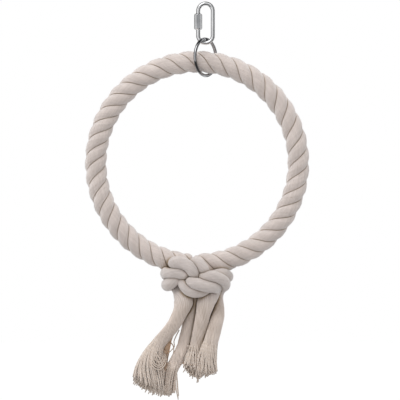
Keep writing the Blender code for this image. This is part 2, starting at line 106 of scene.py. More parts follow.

# Routes of the six strand ends from the rope's end through the knot to the cut end: right, away and up in
# millimetres from the hoop's lowest point, the same points as in the part's source. With them go the plain
# radii in the knot and in the tassel, a swelling at the knot's mouth, the fan's widening and the cut end's
# slope, both across and in depth, the share of the tassel before the fan opens, and for some a painted light
# that brightens the tassel or a lean of the fan towards the viewer
STRAND_PLANS = {
    "upper_left": {
        "radius": 5.6, "tassel_radius": 5.6, "mouth": 0.0, "fan": (1.1, 1.0),
        "cut": (-0.1, 0.3), "open": 0.7, "painted_light": 0.3,
        "knot": [(-22.6, -11.6, -0.4), (-21.2, -14.4, 1.0), (-18.8, -15.9, 1.8), (-15.6, -16.4, 1.8),
                 (-11.2, -16.8, 0.7), (-7.2, -17.2, -1.7), (-4.3, -16.8, -5.0), (-2.8, -14.6, -9.0),
                 (-2.5, -9.5, -13.0), (-2.9, -3.5, -17.6), (-3.2, -0.2, -24.0), (-3.4, 0.5, -30.8)],
        "tassel": [(-4.8, 1.5, -40.6), (-6.8, 2.5, -50.4), (-9.3, 3.0, -61.9), (-12.3, 3.0, -73.5),
                   (-17.8, 2.6, -84.6), (-23.4, 2.2, -94.8), (-26.1, 2.0, -105.5), (-27.8, 2.0, -115.5)],
    },
    "upper_right": {
        "radius": 5.2, "tassel_radius": 6.0, "mouth": 0.0, "fan": (1.2, 1.1),
        "cut": (0.0, 0.2), "open": 0.72,
        "knot": [(-5.5, -11.2, 1.8), (-2.2, -13.4, 2.2), (1.2, -14.7, 0.8), (3.9, -15.1, -2.0),
                 (5.8, -14.7, -5.3), (7.6, -13.4, -8.2), (10.4, -11.2, -10.0), (14.8, -9.2, -10.0),
                 (19.4, -8.4, -8.8), (23.6, -6.6, -8.4), (26.4, -2.8, -10.2), (27.0, 2.2, -11.0),
                 (24.4, 8.6, -9.8), (18.4, 13.4, -6.4), (11.4, 15.6, -3.2), (4.6, 16.2, -1.8),
                 (-1.4, 16.4, -3.8), (-4.6, 16.8, -9.0), (-4.6, 16.6, -14.8), (-3.3, 14.8, -20.8),
                 (-2.2, 12.8, -27.0), (-1.2, 11.8, -33.5)],
        "tassel": [(-0.9, 12.0, -44.2), (-1.6, 12.0, -55.7), (-3.4, 11.5, -67.5), (-5.2, 11.0, -78.5),
                   (-6.4, 10.5, -89.0)],
    },
    "left": {
        "radius": 5.4, "tassel_radius": 5.7, "mouth": 3.3, "fan": (2.4, 1.0),
        "cut": (0.4, 0.6), "open": 0.54, "lean": 5.0,
        "knot": [(-8.0, -10.4, -11.6), (-12.2, -13.8, -8.9), (-17.8, -14.6, -6.9), (-22.4, -13.3, -6.7),
                 (-25.8, -9.3, -7.1), (-27.4, -3.0, -7.8), (-26.6, 3.0, -9.4), (-23.8, 6.2, -12.8),
                 (-19.8, 5.2, -18.2), (-16.0, 1.4, -23.4), (-13.2, -3.0, -27.9), (-12.0, -5.2, -31.7)],
        "tassel": [(-13.0, -5.9, -37.1), (-15.6, -5.9, -44.2), (-19.6, -5.4, -52.2), (-26.0, -4.6, -60.5),
                   (-33.6, -3.4, -69.5), (-39.2, -2.8, -79.0), (-42.0, -2.6, -89.0), (-43.4, -2.6, -99.0),
                   (-44.0, -2.6, -108.5)],
    },
    "lower": {
        "radius": 5.6, "tassel_radius": 5.5, "mouth": 0.0, "fan": (1.3, 1.1),
        "cut": (0.0, 0.2), "open": 0.74,
        "knot": [(16.0, 9.4, -11.0), (10.6, 11.2, -12.0), (4.2, 12.2, -12.8), (-2.4, 12.2, -14.0),
                 (-8.8, 13.4, -15.6), (-15.0, 14.0, -16.6), (-20.6, 12.2, -17.6), (-25.0, 7.2, -18.4),
                 (-26.4, 0.4, -18.2), (-25.3, -6.0, -17.4), (-22.8, -9.6, -15.6), (-19.6, -10.4, -13.2),
                 (-16.2, -9.8, -11.8), (-13.1, -10.3, -12.8), (-11.4, -12.2, -16.2), (-9.8, -13.4, -19.6),
                 (-6.8, -13.8, -22.3), (-2.4, -13.4, -23.6), (2.2, -12.0, -23.5), (6.0, -9.1, -22.6),
                 (8.6, -4.8, -22.0), (9.2, 0.8, -22.0), (6.2, 5.4, -23.2), (0.4, 6.4, -24.8),
                 (-5.6, 7.4, -26.2), (-10.4, 9.2, -28.6), (-13.0, 9.6, -33.0)],
        "tassel": [(-15.6, 9.8, -41.5), (-19.6, 9.6, -51.3), (-26.6, 9.2, -62.8), (-29.6, 9.0, -74.4),
                   (-31.6, 8.8, -85.0), (-33.6, 8.6, -95.7), (-35.4, 8.6, -105.5)],
    },
    "centre": {
        "radius": 5.6, "tassel_radius": 6.2, "mouth": 2.4, "fan": (1.35, 1.05),
        "cut": (0.5, 0.55), "open": 0.66, "lean": 6.0,
        "knot": [(-7.6, -9.8, -15.0), (-6.8, -13.6, -14.8), (-4.2, -16.5, -15.2), (-0.2, -18.2, -16.6),
                 (4.8, -18.4, -18.0), (10.0, -17.6, -19.0), (14.4, -14.6, -19.2), (16.8, -9.8, -19.4),
                 (16.8, -4.6, -21.0), (14.6, -2.2, -24.8), (11.4, -3.4, -29.0), (8.3, -5.2, -33.0)],
        "tassel": [(6.3, -6.2, -39.7), (4.6, -5.6, -47.7), (2.7, -3.6, -57.5), (0.9, -1.8, -67.0),
                   (-0.9, -1.2, -76.0), (-2.8, -2.4, -86.0), (-3.8, -4.0, -95.5)],
    },
    "right": {
        "radius": 5.0, "tassel_radius": 6.2, "mouth": 0.0, "fan": (1.4, 0.9),
        "cut": (-0.2, 0.2), "open": 0.56,
        "knot": [(2.6, -11.6, -11.6), (4.4, -14.6, -10.6), (7.6, -16.7, -10.3), (11.8, -17.9, -10.3),
                 (16.8, -17.4, -11.0), (21.4, -14.8, -13.0), (24.4, -10.8, -15.8), (24.4, -6.0, -18.6),
                 (21.8, -1.6, -20.8), (19.4, 1.8, -24.0), (18.2, 3.2, -28.6), (18.4, 2.6, -33.0)],
        "tassel": [(18.8, 0.4, -40.6), (16.9, -3.0, -51.3), (13.6, -7.0, -63.7), (10.8, -9.5, -74.5),
                   (8.8, -10.2, -85.0), (7.6, -10.4, -97.0)],
    },
}

# Yarns that have come away from the tassels, routed in the same way
LOOSE_YARNS = [
    [(-17.6, 0.6, -84.0), (-18.6, -1.2, -90.0), (-19.4, -1.8, -96.0),
     (-19.2, -2.0, -104.6), (-18.2, -2.0, -113.5), (-16.8, -2.0, -120.6)],
    [(-17.0, 0.2, -82.0), (-17.9, -1.4, -89.0), (-18.5, -2.2, -96.5),
     (-18.0, -2.6, -104.0), (-17.4, -2.4, -112.0), (-16.6, -2.2, -119.4)],
    [(-17.9, 1.4, -85.5), (-19.1, -0.4, -91.5), (-19.9, -0.9, -97.5),
     (-19.9, -1.2, -104.0), (-18.8, -1.6, -111.0), (-17.2, -1.8, -117.4)],
    [(-16.6, 0.8, -83.0), (-17.6, -0.6, -90.0), (-18.0, -1.4, -97.0),
     (-17.4, -2.0, -104.6), (-16.8, -2.4, -112.0), (-16.2, -2.6, -117.0)],
    [(-18.2, 1.8, -86.5), (-19.3, 0.4, -92.5), (-20.2, 0.0, -98.5),
     (-20.3, -0.4, -104.4), (-19.4, -1.0, -110.0), (-18.2, -1.4, -114.6)],
    [(-16.0, 3.4, -58.6), (-18.6, 1.6, -63.6), (-20.6, 0.8, -68.6),
     (-20.2, 1.0, -73.2), (-23.4, 2.0, -77.0), (-26.6, 4.0, -80.4)],
    [(-24.4, 5.6, -69.0), (-21.4, 3.0, -72.4), (-20.8, 1.4, -77.6),
     (-23.0, 0.6, -83.4), (-26.6, 0.2, -88.4), (-29.6, 0.6, -92.6)],
    [(-40.6, -7.2, -79.0), (-39.0, -9.6, -85.0), (-35.8, -10.6, -88.8),
     (-32.0, -9.4, -88.4), (-29.4, -5.6, -83.6), (-31.2, 0.2, -74.6)],
    [(-41.6, -7.4, -81.0), (-39.4, -10.2, -87.2), (-35.4, -11.2, -90.6),
     (-31.2, -9.8, -89.8), (-28.4, -5.4, -84.0), (-30.4, 0.6, -75.4)],
    [(-39.2, -7.0, -76.0), (-37.6, -9.2, -82.8), (-34.8, -9.8, -86.4),
     (-32.0, -8.4, -85.6), (-30.2, -5.0, -81.4), (-31.6, 0.0, -73.4)],
    [(-42.4, -7.6, -83.4), (-39.8, -10.6, -89.6), (-35.0, -11.8, -92.8),
     (-30.4, -10.6, -91.4), (-27.2, -6.0, -85.2), (-29.4, 1.0, -76.2)],
    [(-37.4, -8.2, -76.0), (-34.4, -9.2, -81.4), (-31.4, -9.4, -87.4),
     (-29.4, -8.8, -94.2), (-29.4, -7.8, -101.2), (-31.0, -6.8, -107.6)],
    [(-37.8, -8.4, -78.0), (-35.2, -9.8, -83.6), (-32.8, -10.2, -90.0),
     (-31.4, -9.8, -97.0), (-31.8, -8.8, -103.8), (-33.6, -7.8, -109.8)],
    [(-9.6, -3.6, -73.2), (-8.2, -5.2, -72.2), (-6.6, -6.0, -72.8),
     (-6.2, -6.2, -74.4), (-7.4, -6.0, -75.6), (-9.0, -5.4, -76.0)],
]

# How the strands press against each other
ROUTE_SAMPLES = 24
STATION_STEP = 1.0 * MM
PRESS_ANGLES = 48
PRESS_HALVINGS = 8
PRESS_SMOOTHINGS = 2
LEAST_REACH = 0.16
BEND_LIMIT = 0.84
SELF_TOUCH_RADII = 3.2
TASSEL_SWELL = 18.0 * MM
MOUTH_LENGTH = 9.0 * MM
NOSE_LEAST = 0.22
FAN_FLARE = 1.2
FAN_TWIST = 0.3

# Surface of a tied strand: its yarns, how its core thins where it frays, how far the core follows the fan
SAMPLES_PER_YARN = 4
YARN_CROWN = np.array([-1.0, 0.1, 0.45, 0.1])
CORE_SHORT = 7.0 * MM
CORE_FAN = 0.4
CORE_THINNING = 0.14
CORE_THINS_BY = 0.3
CORE_POINT = 0.5
CORE_POINT_LENGTH = 7.0 * MM
RIDGE_UNEVEN = 0.5
RIDGE_WAVE = 14.0 * MM
RIDGE_ROUND = 0.9
RIDGE_RANGE = (0.2, 1.6)
SKIN_STRAY = 0.10 * MM
SKIN_WAVE = 4.0 * MM
SKIN_ROUND = 2.0

# Stretches along a strand, measured from where it leaves the knot: coming loose, and shaded below the knot
LOOSE_SPAN = (-6.0 * MM, 14.0 * MM)
BELOW_RISE = (-10.0 * MM, -2.0 * MM)
BELOW_FALL = (4.0 * MM, 30.0 * MM)

# Loose yarns: sides and stations of a tube, shares of the reach where they lie, the room that the fan gives,
# how they lean and end short, the shift between their maps, the painted shade at their ends and the painted
# shade on the inner ones
YARN_SIDES = 5
YARN_STATIONS = 10
YARN_SHARES = (0.97, 0.82, 0.67, 0.52, 0.37, 0.21)
OUTER_SHARE = 0.9
OUTLINE_SAMPLES = 721
FAN_ROOM = 0.7
LEAN_POWER = 2.5
YARN_SHORT = 0.5 * MM
YARN_SHIFT = 3.0
YARN_END_PAINTED_SHADE = 0.15
INNER_PAINTED_SHADE = 0.5
INNER_DEPTH = 0.5
INNER_LIGHTENS = 0.6

# Yarns that have come away: every so many of the route's samples, and their map's length round and along
LOOSE_EVERY = 8
LOOSE_RUN = 40.0 * MM
LOOSE_MAP = 30.0

# Chance in the loose yarns: spread of angle and share, where they leave the core as a share of the fan, how
# much they stray right, away and up, least and most of a waver's length and width in millimetres, thickness
ANGLE_STRAY = 0.06
SHARE_STRAY = 0.025
OUTER_START = (-0.25, 0.15)
INNER_START = 0.35
STRAY_SHARES = np.array([1.0, 0.8, 0.4])
WAVER_LENGTH = (5.0, 9.0)
WAVER_WIDTH = (0.4, 1.9)
THICKNESS_SPREAD = (0.85, 1.15)

# Courses along a yarn, as shares of its length and values there: how far out it lies and how thick it is
YARN_EMERGES = ((0.0, 0.22, 1.0), (0.86, 1.0, 1.0))
YARN_THICKNESS = ((0.0, 0.08, 0.6, 1.0), (0.4, 1.3, 1.25, 0.95))
LOOSE_THICKNESS = ((0.0, 0.7, 1.0), (0.9, 0.8, 0.45))

# Painted shade in the cotton's creases: how dark each kind is at its deepest, and the distance in which it
# fades away
PAINTED_SHADES = {
    "rope against knot": (0.50, 0.9 * MM),
    "rope near knot": (0.20, 3.5 * MM),
    "rope under knot": (0.12, 1.0 * MM),
    "skins touch": (0.42, 0.42 * MM),
    "skins near": (0.12, 3.0 * MM),
    "pocket": (0.85, 1.0 * MM),
    "pocket side": (1.0, 1.1 * MM),
    "overlap": (1.0, 1.1 * MM),
    "below knot": (0.55, 1.8 * MM),
    "tassels touch": (0.40, 0.8 * MM),
}
# Painted shade under strands that lie over this one and in the valleys between yarns, on tied and on hanging
# stretches, and where the fan opens with how far open it must be; the painted shading is held between the
# least and the most, and below nought it is painted light that brightens
OVERLAP_TIED = 0.15
OVERLAP_LOOSE = 0.95
VALLEY_TIED = 0.10
VALLEY_LOOSE = 0.26
FAN_PAINTED_SHADE = 0.35
FAN_PAINTED_SHADE_BY = 0.4
PAINTED_SHADING_LEAST = -0.3
PAINTED_SHADING_MOST = 1.3

# Heights between which the knot's darker colour, a painted shade, passes into the colour of the tassels'
# untwisted cotton
HANGING = (HOOP_CENTRE[2] - 130.0 * MM, HOOP_CENTRE[2] - 112.0 * MM)

# Places, with a reach, where light comes warm through the yarns behind, measured as the routes are
GLOWS = [((-27.0, 6.0, -74.0), 11.0), ((-31.0, 5.0, -91.0), 10.0), ((-9.5, 9.0, -88.0), 8.0)]

# Steel: points round and along the wires, form of the sleeve, the bar's thread and ends, the ring's weld
WIRE_SIDES = 24
RING_STATIONS = 144
BOW_STATIONS = 49
THREAD_STATIONS = 41
LEG_STATIONS = {"above gate": 6, "right": 14, "below gate": 12}
SLEEVE_WAIST = 0.985
SLEEVE_CROWN = 0.2
SLEEVE_SHARP = math.radians(14.0)
THREAD_LENGTH = 2.4 * MM
THREAD_DEPTH = 0.16 * MM
THREAD_RUN_OUT = 0.5 * MM
STUB_END = np.linspace(0.82, 1.0, 4)[:, None]
GATE_END = 0.86
WELD_ANGLE = math.radians(300.0)
WELD_WIDTH = 0.05
WELD_HEIGHT = 0.07 * MM

# Grey flags a metre round the swing: start and stop in degrees from the front, bottom, top and shade
FLAGS = {
    "flag_front": (-11.0, 14.0, -0.3, 0.35, 0.27),
    "flag_right": (32.0, 100.0, -0.75, 0.8, 0.06),
    "flag_mid_right": (100.0, 123.0, -0.75, 0.8, 0.72),
    "flag_far_right": (123.0, 180.0, -0.75, 1.2, 0.03),
    "flag_left": (-110.0, -72.0, -0.75, 0.8, 0.03),
    "flag_mid_left": (-123.0, -110.0, -0.75, 0.8, 0.66),
    "flag_far_left": (-180.0, -123.0, -0.75, 1.2, 0.03),
}

# Level flags: left, front, right, back and height
LEVEL_FLAGS = {"flag_low": (-1.2, -1.6, 1.2, 0.2, -0.6), "flag_top": (-2.0, -0.3, 2.0, 2.0, 0.8)}
LEVEL_FLAG_SHADE = 0.03

# Sky: how far each way its strength changes, and its colour on the viewer's side and behind
SKY_DEPTH = (-0.7, 0.7)
SKY_SIDES = (-0.9, 0.9)
SKY_FRONT = (1.0, 0.995, 0.99, 1.0)
SKY_BACK = (0.955, 0.98, 1.0, 1.0)

# Floor, key light and camera
FLOOR_REACH = 6.0
FLOOR_GLOW = 0.8
KEY_PLACE = (-0.55, -0.9, 1.1)
KEY_AIM = (0.0, 0.0, -0.15)
KEY_SIZE = 0.9
SENSOR_WIDTH = 36.0

# Cotton's plain surface values, and how far the lines between yarns take on the painted shade colour
COTTON_SURFACE = {"Specular IOR Level": 0.25, "Sheen Weight": 1.0, "Sheen Roughness": 0.35,
                  "Sheen Tint": WHITE}
GAP_SHARE = 0.30


# Settings that a user may change

def length_setting(name, description, default):
    """A length in metres."""
    return FloatProperty(name=name, description=description, default=default, unit="LENGTH")


def colour_setting(name, description, *default):
    """A colour of three plain shares."""
    return FloatVectorProperty(name=name, description=description, default=default, size=3, subtype="COLOR",
                               min=0.0, max=1.0)


def light_setting(name, description, default):
    """A strength of light, where one is plain white."""
    return FloatProperty(name=name, description=description, default=default, min=0.0, subtype="FACTOR",
                         soft_max=2.0)


class RopeLook(bpy.types.PropertyGroup):
    """Sizes and colours of the laid rope."""

    hoop_radius: length_setting("Hoop radius", "Radius of the hoop at the rope's middle", HOOP_RADIUS)
    rope_radius: length_setting("Rope radius", "Radius of the rope over its strands", 9.75 * MM)
    lobe_offset: length_setting("Strand offset", "How far a strand's round face is set out", 2.6 * MM)
    shoulder: length_setting("Shoulder", "Radius of a strand's edge where two strands meet", 0.85 * MM)
    wander: length_setting("Wander", "How far the strands' faces stray from the exact form", 0.16 * MM)
    yarn_width: length_setting("Yarn width", "Width of one yarn on a strand's face", 1.2 * MM)
    colour: colour_setting("Cotton", "Colour of clean undyed cotton", 0.70, 0.622, 0.588)
    # The shade and deep colours are painted shade, taken on in creases, between yarns and deepest between
    # strands; the cotton's flecks take the shade colour too
    shade: colour_setting("Painted shade", "Colour of the cotton deep between strands", 0.40, 0.30, 0.205)
    glow: colour_setting("Glow", "Colour of cotton that light comes through", 0.78, 0.55, 0.37)
    deep: colour_setting("Gaps", "Colour of the cotton at the bottom of open gaps", 0.11, 0.07, 0.038)


class KnotLook(bpy.types.PropertyGroup):
    """How the six strand ends are tied and frayed."""

    fullness: FloatProperty(name="Fullness", description="How much of its plain radius a strand may fill",
                            default=1.0, subtype="FACTOR")
    touch_gap: length_setting("Gap", "Gap left where two strands press together", 0.14 * MM)
    rope_sink: length_setting("Sink", "How far a strand sinks into the rope's skin", 0.35 * MM)
    yarns_round: IntProperty(name="Yarns round", description="Yarns seen round one strand", default=28)
    ridge: length_setting("Ridge", "Height of a yarn on a tied strand", 0.10 * MM)
    tassel_ridge: length_setting("Tassel ridge", "Height of a yarn on a hanging strand", 0.42 * MM)
    lay_length: length_setting("Yarn lay", "Length in which the yarns turn once round a strand", 90.0 * MM)
    yarn_radius: length_setting("Loose yarn radius", "Radius of one loose yarn", 0.60 * MM)
    ply_lay: length_setting("Ply", "Length in which the plies of a loose yarn turn by one ply", 3.0 * MM)
    stray: length_setting("Stray", "How far the cut yarns stray from their strand", 1.4 * MM)
    uneven: length_setting("Uneven cut", "How much the cut yarns differ in length", 1.2 * MM)
    seed: IntProperty(name="Seed", description="Seed of the yarns' stray", default=11)
    # The knot's cotton is the rope's own, set darker than the rope's colour as painted shade over the knot
    colour: colour_setting("Tied cotton", "Colour of the cotton in the knot", 0.645, 0.585, 0.563)
    hanging_colour: colour_setting("Hanging cotton", "Colour of the hanging strands", 0.70, 0.608, 0.55)
    loose_colour: colour_setting("Loose cotton", "Colour of the untwisted cotton", 0.695, 0.60, 0.53)


class SteelLook(bpy.types.PropertyGroup):
    """Sizes and colours of the ring, the screw link and the core."""

    bar_diameter: length_setting("Link bar", "Diameter of the link's bar", 3.5 * MM)
    inside_length: length_setting("Link length", "Inside length of the link", 31.5 * MM)
    inside_width: length_setting("Link width", "Inside width of the link", 9.5 * MM)
    gate_top: length_setting("Gate", "Depth of the gate's upper end below the top bow's inside", 9.3 * MM)
    gate_gap: length_setting("Gate gap", "Opening that the sleeve closes", 3.5 * MM)
    thread_pitch: length_setting("Thread pitch", "Pitch of the thread on the gate's stub", 0.6 * MM)
    sleeve_corners: length_setting("Sleeve", "Size of the sleeve across its corners", 7.2 * MM)
    sleeve_chamfer: length_setting("Chamfer", "Turned chamfer at the sleeve's ends", 0.9 * MM)
    sleeve_bore: length_setting("Bore", "Diameter of the sleeve's bore", 4.0 * MM)
    ring_wire: length_setting("Ring wire", "Diameter of the hanging ring's wire", 2.8 * MM)
    ring_outside: length_setting("Ring", "Outside diameter of the hanging ring", 35.2 * MM)
    ring_turn: FloatProperty(name="Ring turn", description="Turn of the ring about the upright",
                             default=math.radians(55.0), subtype="ANGLE")
    colour: colour_setting("Plating", "Colour of the bright plating", 0.86, 0.86, 0.87)
    ring_colour: colour_setting("Ring plating", "Colour of the ring's darker plating", 0.41, 0.41, 0.42)
    core_colour: colour_setting("Core", "Colour of the plain steel core", 0.36, 0.35, 0.34)


class StageLook(bpy.types.PropertyGroup):
    """Camera, light and floor."""

    camera_distance: length_setting("Camera distance", "Distance from the hoop's plane", 2.4)
    camera_right: length_setting("Camera across", "Camera's place to the right", -4.9 * MM)
    camera_up: length_setting("Camera up", "Camera's height", -172.77 * MM)
    picture_width: length_setting("Picture width", "Width seen in the hoop's plane", 355.4 * MM)
    floor_height: length_setting("Floor", "Height of the floor", -0.62)
    key_power: FloatProperty(name="Key light", description="Power of the soft light from the upper left",
                             default=7.0, unit="POWER")
    sky_front: light_setting("Front light", "Strength of the even light from the viewer's side", 0.82)
    sky_back: light_setting("Back light", "Strength of the even light from behind", 1.4)
    sky_above: light_setting("Top light", "Share of the even light that comes from above", 1.15)
    sky_below: light_setting("Low light", "Share of the even light that comes from below", 0.65)
    sky_left: light_setting("Left light", "Share of the even light that comes from the left", 1.2)
    sky_right: light_setting("Right light", "Share of the even light that comes from the right", 0.95)


# Shader helpers

def feed(tree, socket, value):
    """Join a socket to another node's output, or give it a plain value."""
    if isinstance(value, bpy.types.NodeSocket):
        tree.links.new(value, socket)
    else:
        socket.default_value = value


def put(tree, kind, inputs=None, **options):
    """Add a node, set its options and feed its inputs."""
    made = tree.nodes.new(kind)
    for name, value in options.items():
        setattr(made, name, value)
    for key, value in (inputs or {}).items():
        feed(tree, made.inputs[key], value)
    return made


def reckon(tree, operation, first, second=0.0, third=0.0):
    """One step of arithmetic between sockets or numbers."""
    inputs = {0: first, 1: second, 2: third}
    return put(tree, "ShaderNodeMath", inputs, operation=operation).outputs[0]


def ramp(tree, value, low, high, from_low=0.0, from_high=1.0):
    """Carry a value smoothly from one range to another, held at both ends."""
    inputs = {"Value": value, "From Min": from_low, "From Max": from_high, "To Min": low, "To Max": high}
    return put(tree, "ShaderNodeMapRange", inputs, interpolation_type="SMOOTHSTEP").outputs[0]


def tint(tree, amount, first, second, how="MIX"):
    """Mix two colours by an amount."""
    inputs = {0: amount, 6: first, 7: second}
    options = {"data_type": "RGBA", "blend_type": how, "clamp_factor": True}
    return put(tree, "ShaderNodeMix", inputs, **options).outputs[2]


def cloud(tree, vector, scale, detail=2.0, roughness=0.5):
    """A noise pattern's value."""
    inputs = {"Vector": vector, "Scale": scale, "Detail": detail, "Roughness": roughness}
    return put(tree, "ShaderNodeTexNoise", inputs).outputs["Fac"]


def stretched(tree, across, along, across_scale, along_scale):
    """A pattern's place from two coordinates, each with its own scale."""
    across = reckon(tree, "MULTIPLY", across, across_scale)
    along = reckon(tree, "MULTIPLY", along, along_scale)
    return put(tree, "ShaderNodeCombineXYZ", {0: across, 1: along}).outputs[0]


def own_place(tree):
    """A point's place in the object's own coordinates."""
    return put(tree, "ShaderNodeTexCoord").outputs["Object"]


def new_group(name, colours, numbers, outputs):
    """A shader node group: names of colour inputs, defaults of number inputs and kinds of outputs."""
    group = bpy.data.node_groups.new(name, "ShaderNodeTree")
    for label in colours:
        group.interface.new_socket(name=label, in_out="INPUT", socket_type="NodeSocketColor")
    for label, default in numbers.items():
        socket = group.interface.new_socket(name=label, in_out="INPUT", socket_type="NodeSocketFloat")
        socket.default_value = default
    for label, kind in outputs.items():
        group.interface.new_socket(name=label, in_out="OUTPUT", socket_type=f"NodeSocket{kind}")
    return group, group.nodes.new("NodeGroupInput").outputs, group.nodes.new("NodeGroupOutput").inputs


@lru_cache(maxsize=None)
def laid_yarns():
    """Group: rounded yarns side by side across one coordinate, wavering along the other, with fibres."""
    group, given, made = new_group(
        "Laid yarns", (), {"Across": 0.0, "Along": 0.0, "Waver": 0.8, "Fibre": 0.35},
        {"Height": "Float", "Gap": "Float", "Fibres": "Float", "Streak": "Float"})
    slow = stretched(group, given["Across"], given["Along"], 0.55, 0.05)
    drift = reckon(group, "SUBTRACT", cloud(group, slow, 1.0), 0.5)
    across = reckon(group, "MULTIPLY_ADD", drift, given["Waver"], given["Across"])
    middle = reckon(group, "MULTIPLY", reckon(group, "PINGPONG", across, 0.5), 2.0)
    crown = reckon(group, "POWER", middle, 0.55)
    thread = stretched(group, across, given["Along"], 5.0, 0.32)
    fibres = cloud(group, thread, 1.0, detail=4.0, roughness=0.62)
    fuzz = reckon(group, "SUBTRACT", fibres, 0.5)
    feed(group, made["Height"], reckon(group, "MULTIPLY_ADD", fuzz, given["Fibre"], crown))
    feed(group, made["Gap"], ramp(group, middle, 1.0, 0.0, 0.0, 0.55))
    feed(group, made["Fibres"], fibres)
    long = stretched(group, across, given["Along"], 0.8, 0.07)
    feed(group, made["Streak"], cloud(group, long, 1.0, detail=1.0))
    return group


@lru_cache(maxsize=None)
def cotton_tint():
    """Group: undyed cotton with painted shade in creases and between yarns, softly mottled, with a few
    flecks.

    Painted shading below nought is painted light that brightens the cotton a little; from nought up the
    cotton takes on the shade colour as painted shade, and past two thirds the deep one. Spots that light
    comes through take on the glow colour as painted light.
    """
    group, given, made = new_group(
        "Cotton tint", ("Cotton", "Hanging", "Glow", "Shade", "Deep"),
        {"Hollow": 0.0, "Gap": 0.0, "Fibres": 0.5, "Gap share": 0.2, "Streak": 0.5}, {"Colour": "Color"})
    place = own_place(group)
    mottle = ramp(group, cloud(group, place, 60.0, detail=3.0), 0.93, 1.05, 0.25, 0.75)
    grain = ramp(group, given["Fibres"], 0.90, 1.07, 0.2, 0.8)
    streak = ramp(group, given["Streak"], 0.94, 1.04, 0.3, 0.7)
    shade = reckon(group, "MULTIPLY", reckon(group, "MULTIPLY", mottle, grain), streak)
    height = put(group, "ShaderNodeSeparateXYZ", {0: place}).outputs["Z"]
    # The knot's darker colour, a painted shade, passes into the hanging colour lower down
    cotton = tint(group, ramp(group, height, 1.0, 0.0, *HANGING), given["Cotton"], given["Hanging"])
    for spot, reach in GLOWS:
        seat = HOOP_CENTRE - HOOP_RADIUS * UP + MM * np.array(spot)
        inputs = {0: place, 1: tuple(seat)}
        away = put(group, "ShaderNodeVectorMath", inputs, operation="DISTANCE").outputs["Value"]
        glow = ramp(group, away, 0.8, 0.0, 0.35 * reach * MM, reach * MM)
        cotton = tint(group, glow, cotton, given["Glow"])
    plain = tint(group, 1.0, cotton, shade, "MULTIPLY")
    # Painted light: painted shading below nought brightens the cotton
    plain = tint(group, 1.0, plain, ramp(group, given["Hollow"], 1.2, 1.0, PAINTED_SHADING_LEAST, 0.0), "MULTIPLY")
    # Painted shade in the lines between yarns
    lines = tint(group, reckon(group, "MULTIPLY", given["Gap"], given["Gap share"]), plain, given["Shade"])
    # Flecks of seed husk, the cotton's own, take the same colour
    fleck = ramp(group, cloud(group, place, 900.0, detail=0.0), 0.0, 0.35, 0.76, 0.82)
    flecked = tint(group, fleck, lines, given["Shade"])
    # Painted shade in creases, and a darker painted shade where the creases are deepest
    with_painted_shade = tint(group, ramp(group, given["Hollow"], 0.0, 1.0, 0.0, 0.75), flecked, given["Shade"])
    with_darkest_shade = tint(group, ramp(group, given["Hollow"], 0.0, 1.0, 0.65, 1.25), with_painted_shade, given["Deep"])
    feed(group, made["Colour"], with_darkest_shade)
    return group


@lru_cache(maxsize=None)
def handled_metal():
    """Group: faint smears and fine scratches on bright metal, read in the object's own place."""
    group, given, made = new_group("Handled metal", (), {"Smear size": 160.0, "Scratch size": 900.0},
                                   {"Smear": "Float", "Scratch": "Float"})
    place = own_place(group)
    feed(group, made["Smear"], cloud(group, place, given["Smear size"], detail=3.0))
    drawn = put(group, "ShaderNodeMapping", {"Vector": place, "Scale": (1.0, 1.0, 0.12)}).outputs[0]
    feed(group, made["Scratch"], cloud(group, drawn, given["Scratch size"], detail=4.0, roughness=0.7))
    return group


def new_material(name, plain):
    """A material, its tree and its Principled shader, with plain values on the shader's own sockets."""
    material = bpy.data.materials.new(name)
    material.use_nodes = True
    shader = material.node_tree.nodes["Principled BSDF"]
    for label, value in plain.items():
        shader.inputs[label].default_value = value
    return material, material.node_tree, shader


def cotton_material(name, look, tied, hanging, bump, waver, fibre):
    """Cotton whose yarns follow the piece's own yarn map and whose painted shade follows its own attribute.
    """
    material, tree, shader = new_material(name, COTTON_SURFACE)
    yarn_map = put(tree, "ShaderNodeUVMap", uv_map="yarn").outputs[0]
    across, along, _ = put(tree, "ShaderNodeSeparateXYZ", {0: yarn_map}).outputs
    hollow = put(tree, "ShaderNodeAttribute", attribute_name="hollow", attribute_type="GEOMETRY")
    inputs = {"Across": across, "Along": along, "Waver": waver, "Fibre": fibre}
    yarns = put(tree, "ShaderNodeGroup", inputs, node_tree=laid_yarns())
    colours = {"Cotton": tied, "Hanging": hanging, "Glow": look.glow, "Shade": look.shade, "Deep": look.deep}
    inputs = {label: (*value, 1.0) for label, value in colours.items()}
    inputs.update({label: yarns.outputs[label] for label in ("Gap", "Fibres", "Streak")})
    inputs.update({"Hollow": hollow.outputs["Fac"], "Gap share": GAP_SHARE})
    colour = put(tree, "ShaderNodeGroup", inputs, node_tree=cotton_tint()).outputs["Colour"]
    feed(tree, shader.inputs["Base Color"], colour)
    feed(tree, shader.inputs["Roughness"], ramp(tree, yarns.outputs["Fibres"], 0.82, 0.96, 0.2, 0.8))
    inputs = {"Height": yarns.outputs["Height"], "Distance": bump, "Strength": 0.8}
    feed(tree, shader.inputs["Normal"], put(tree, "ShaderNodeBump", inputs).outputs[0])
    return material


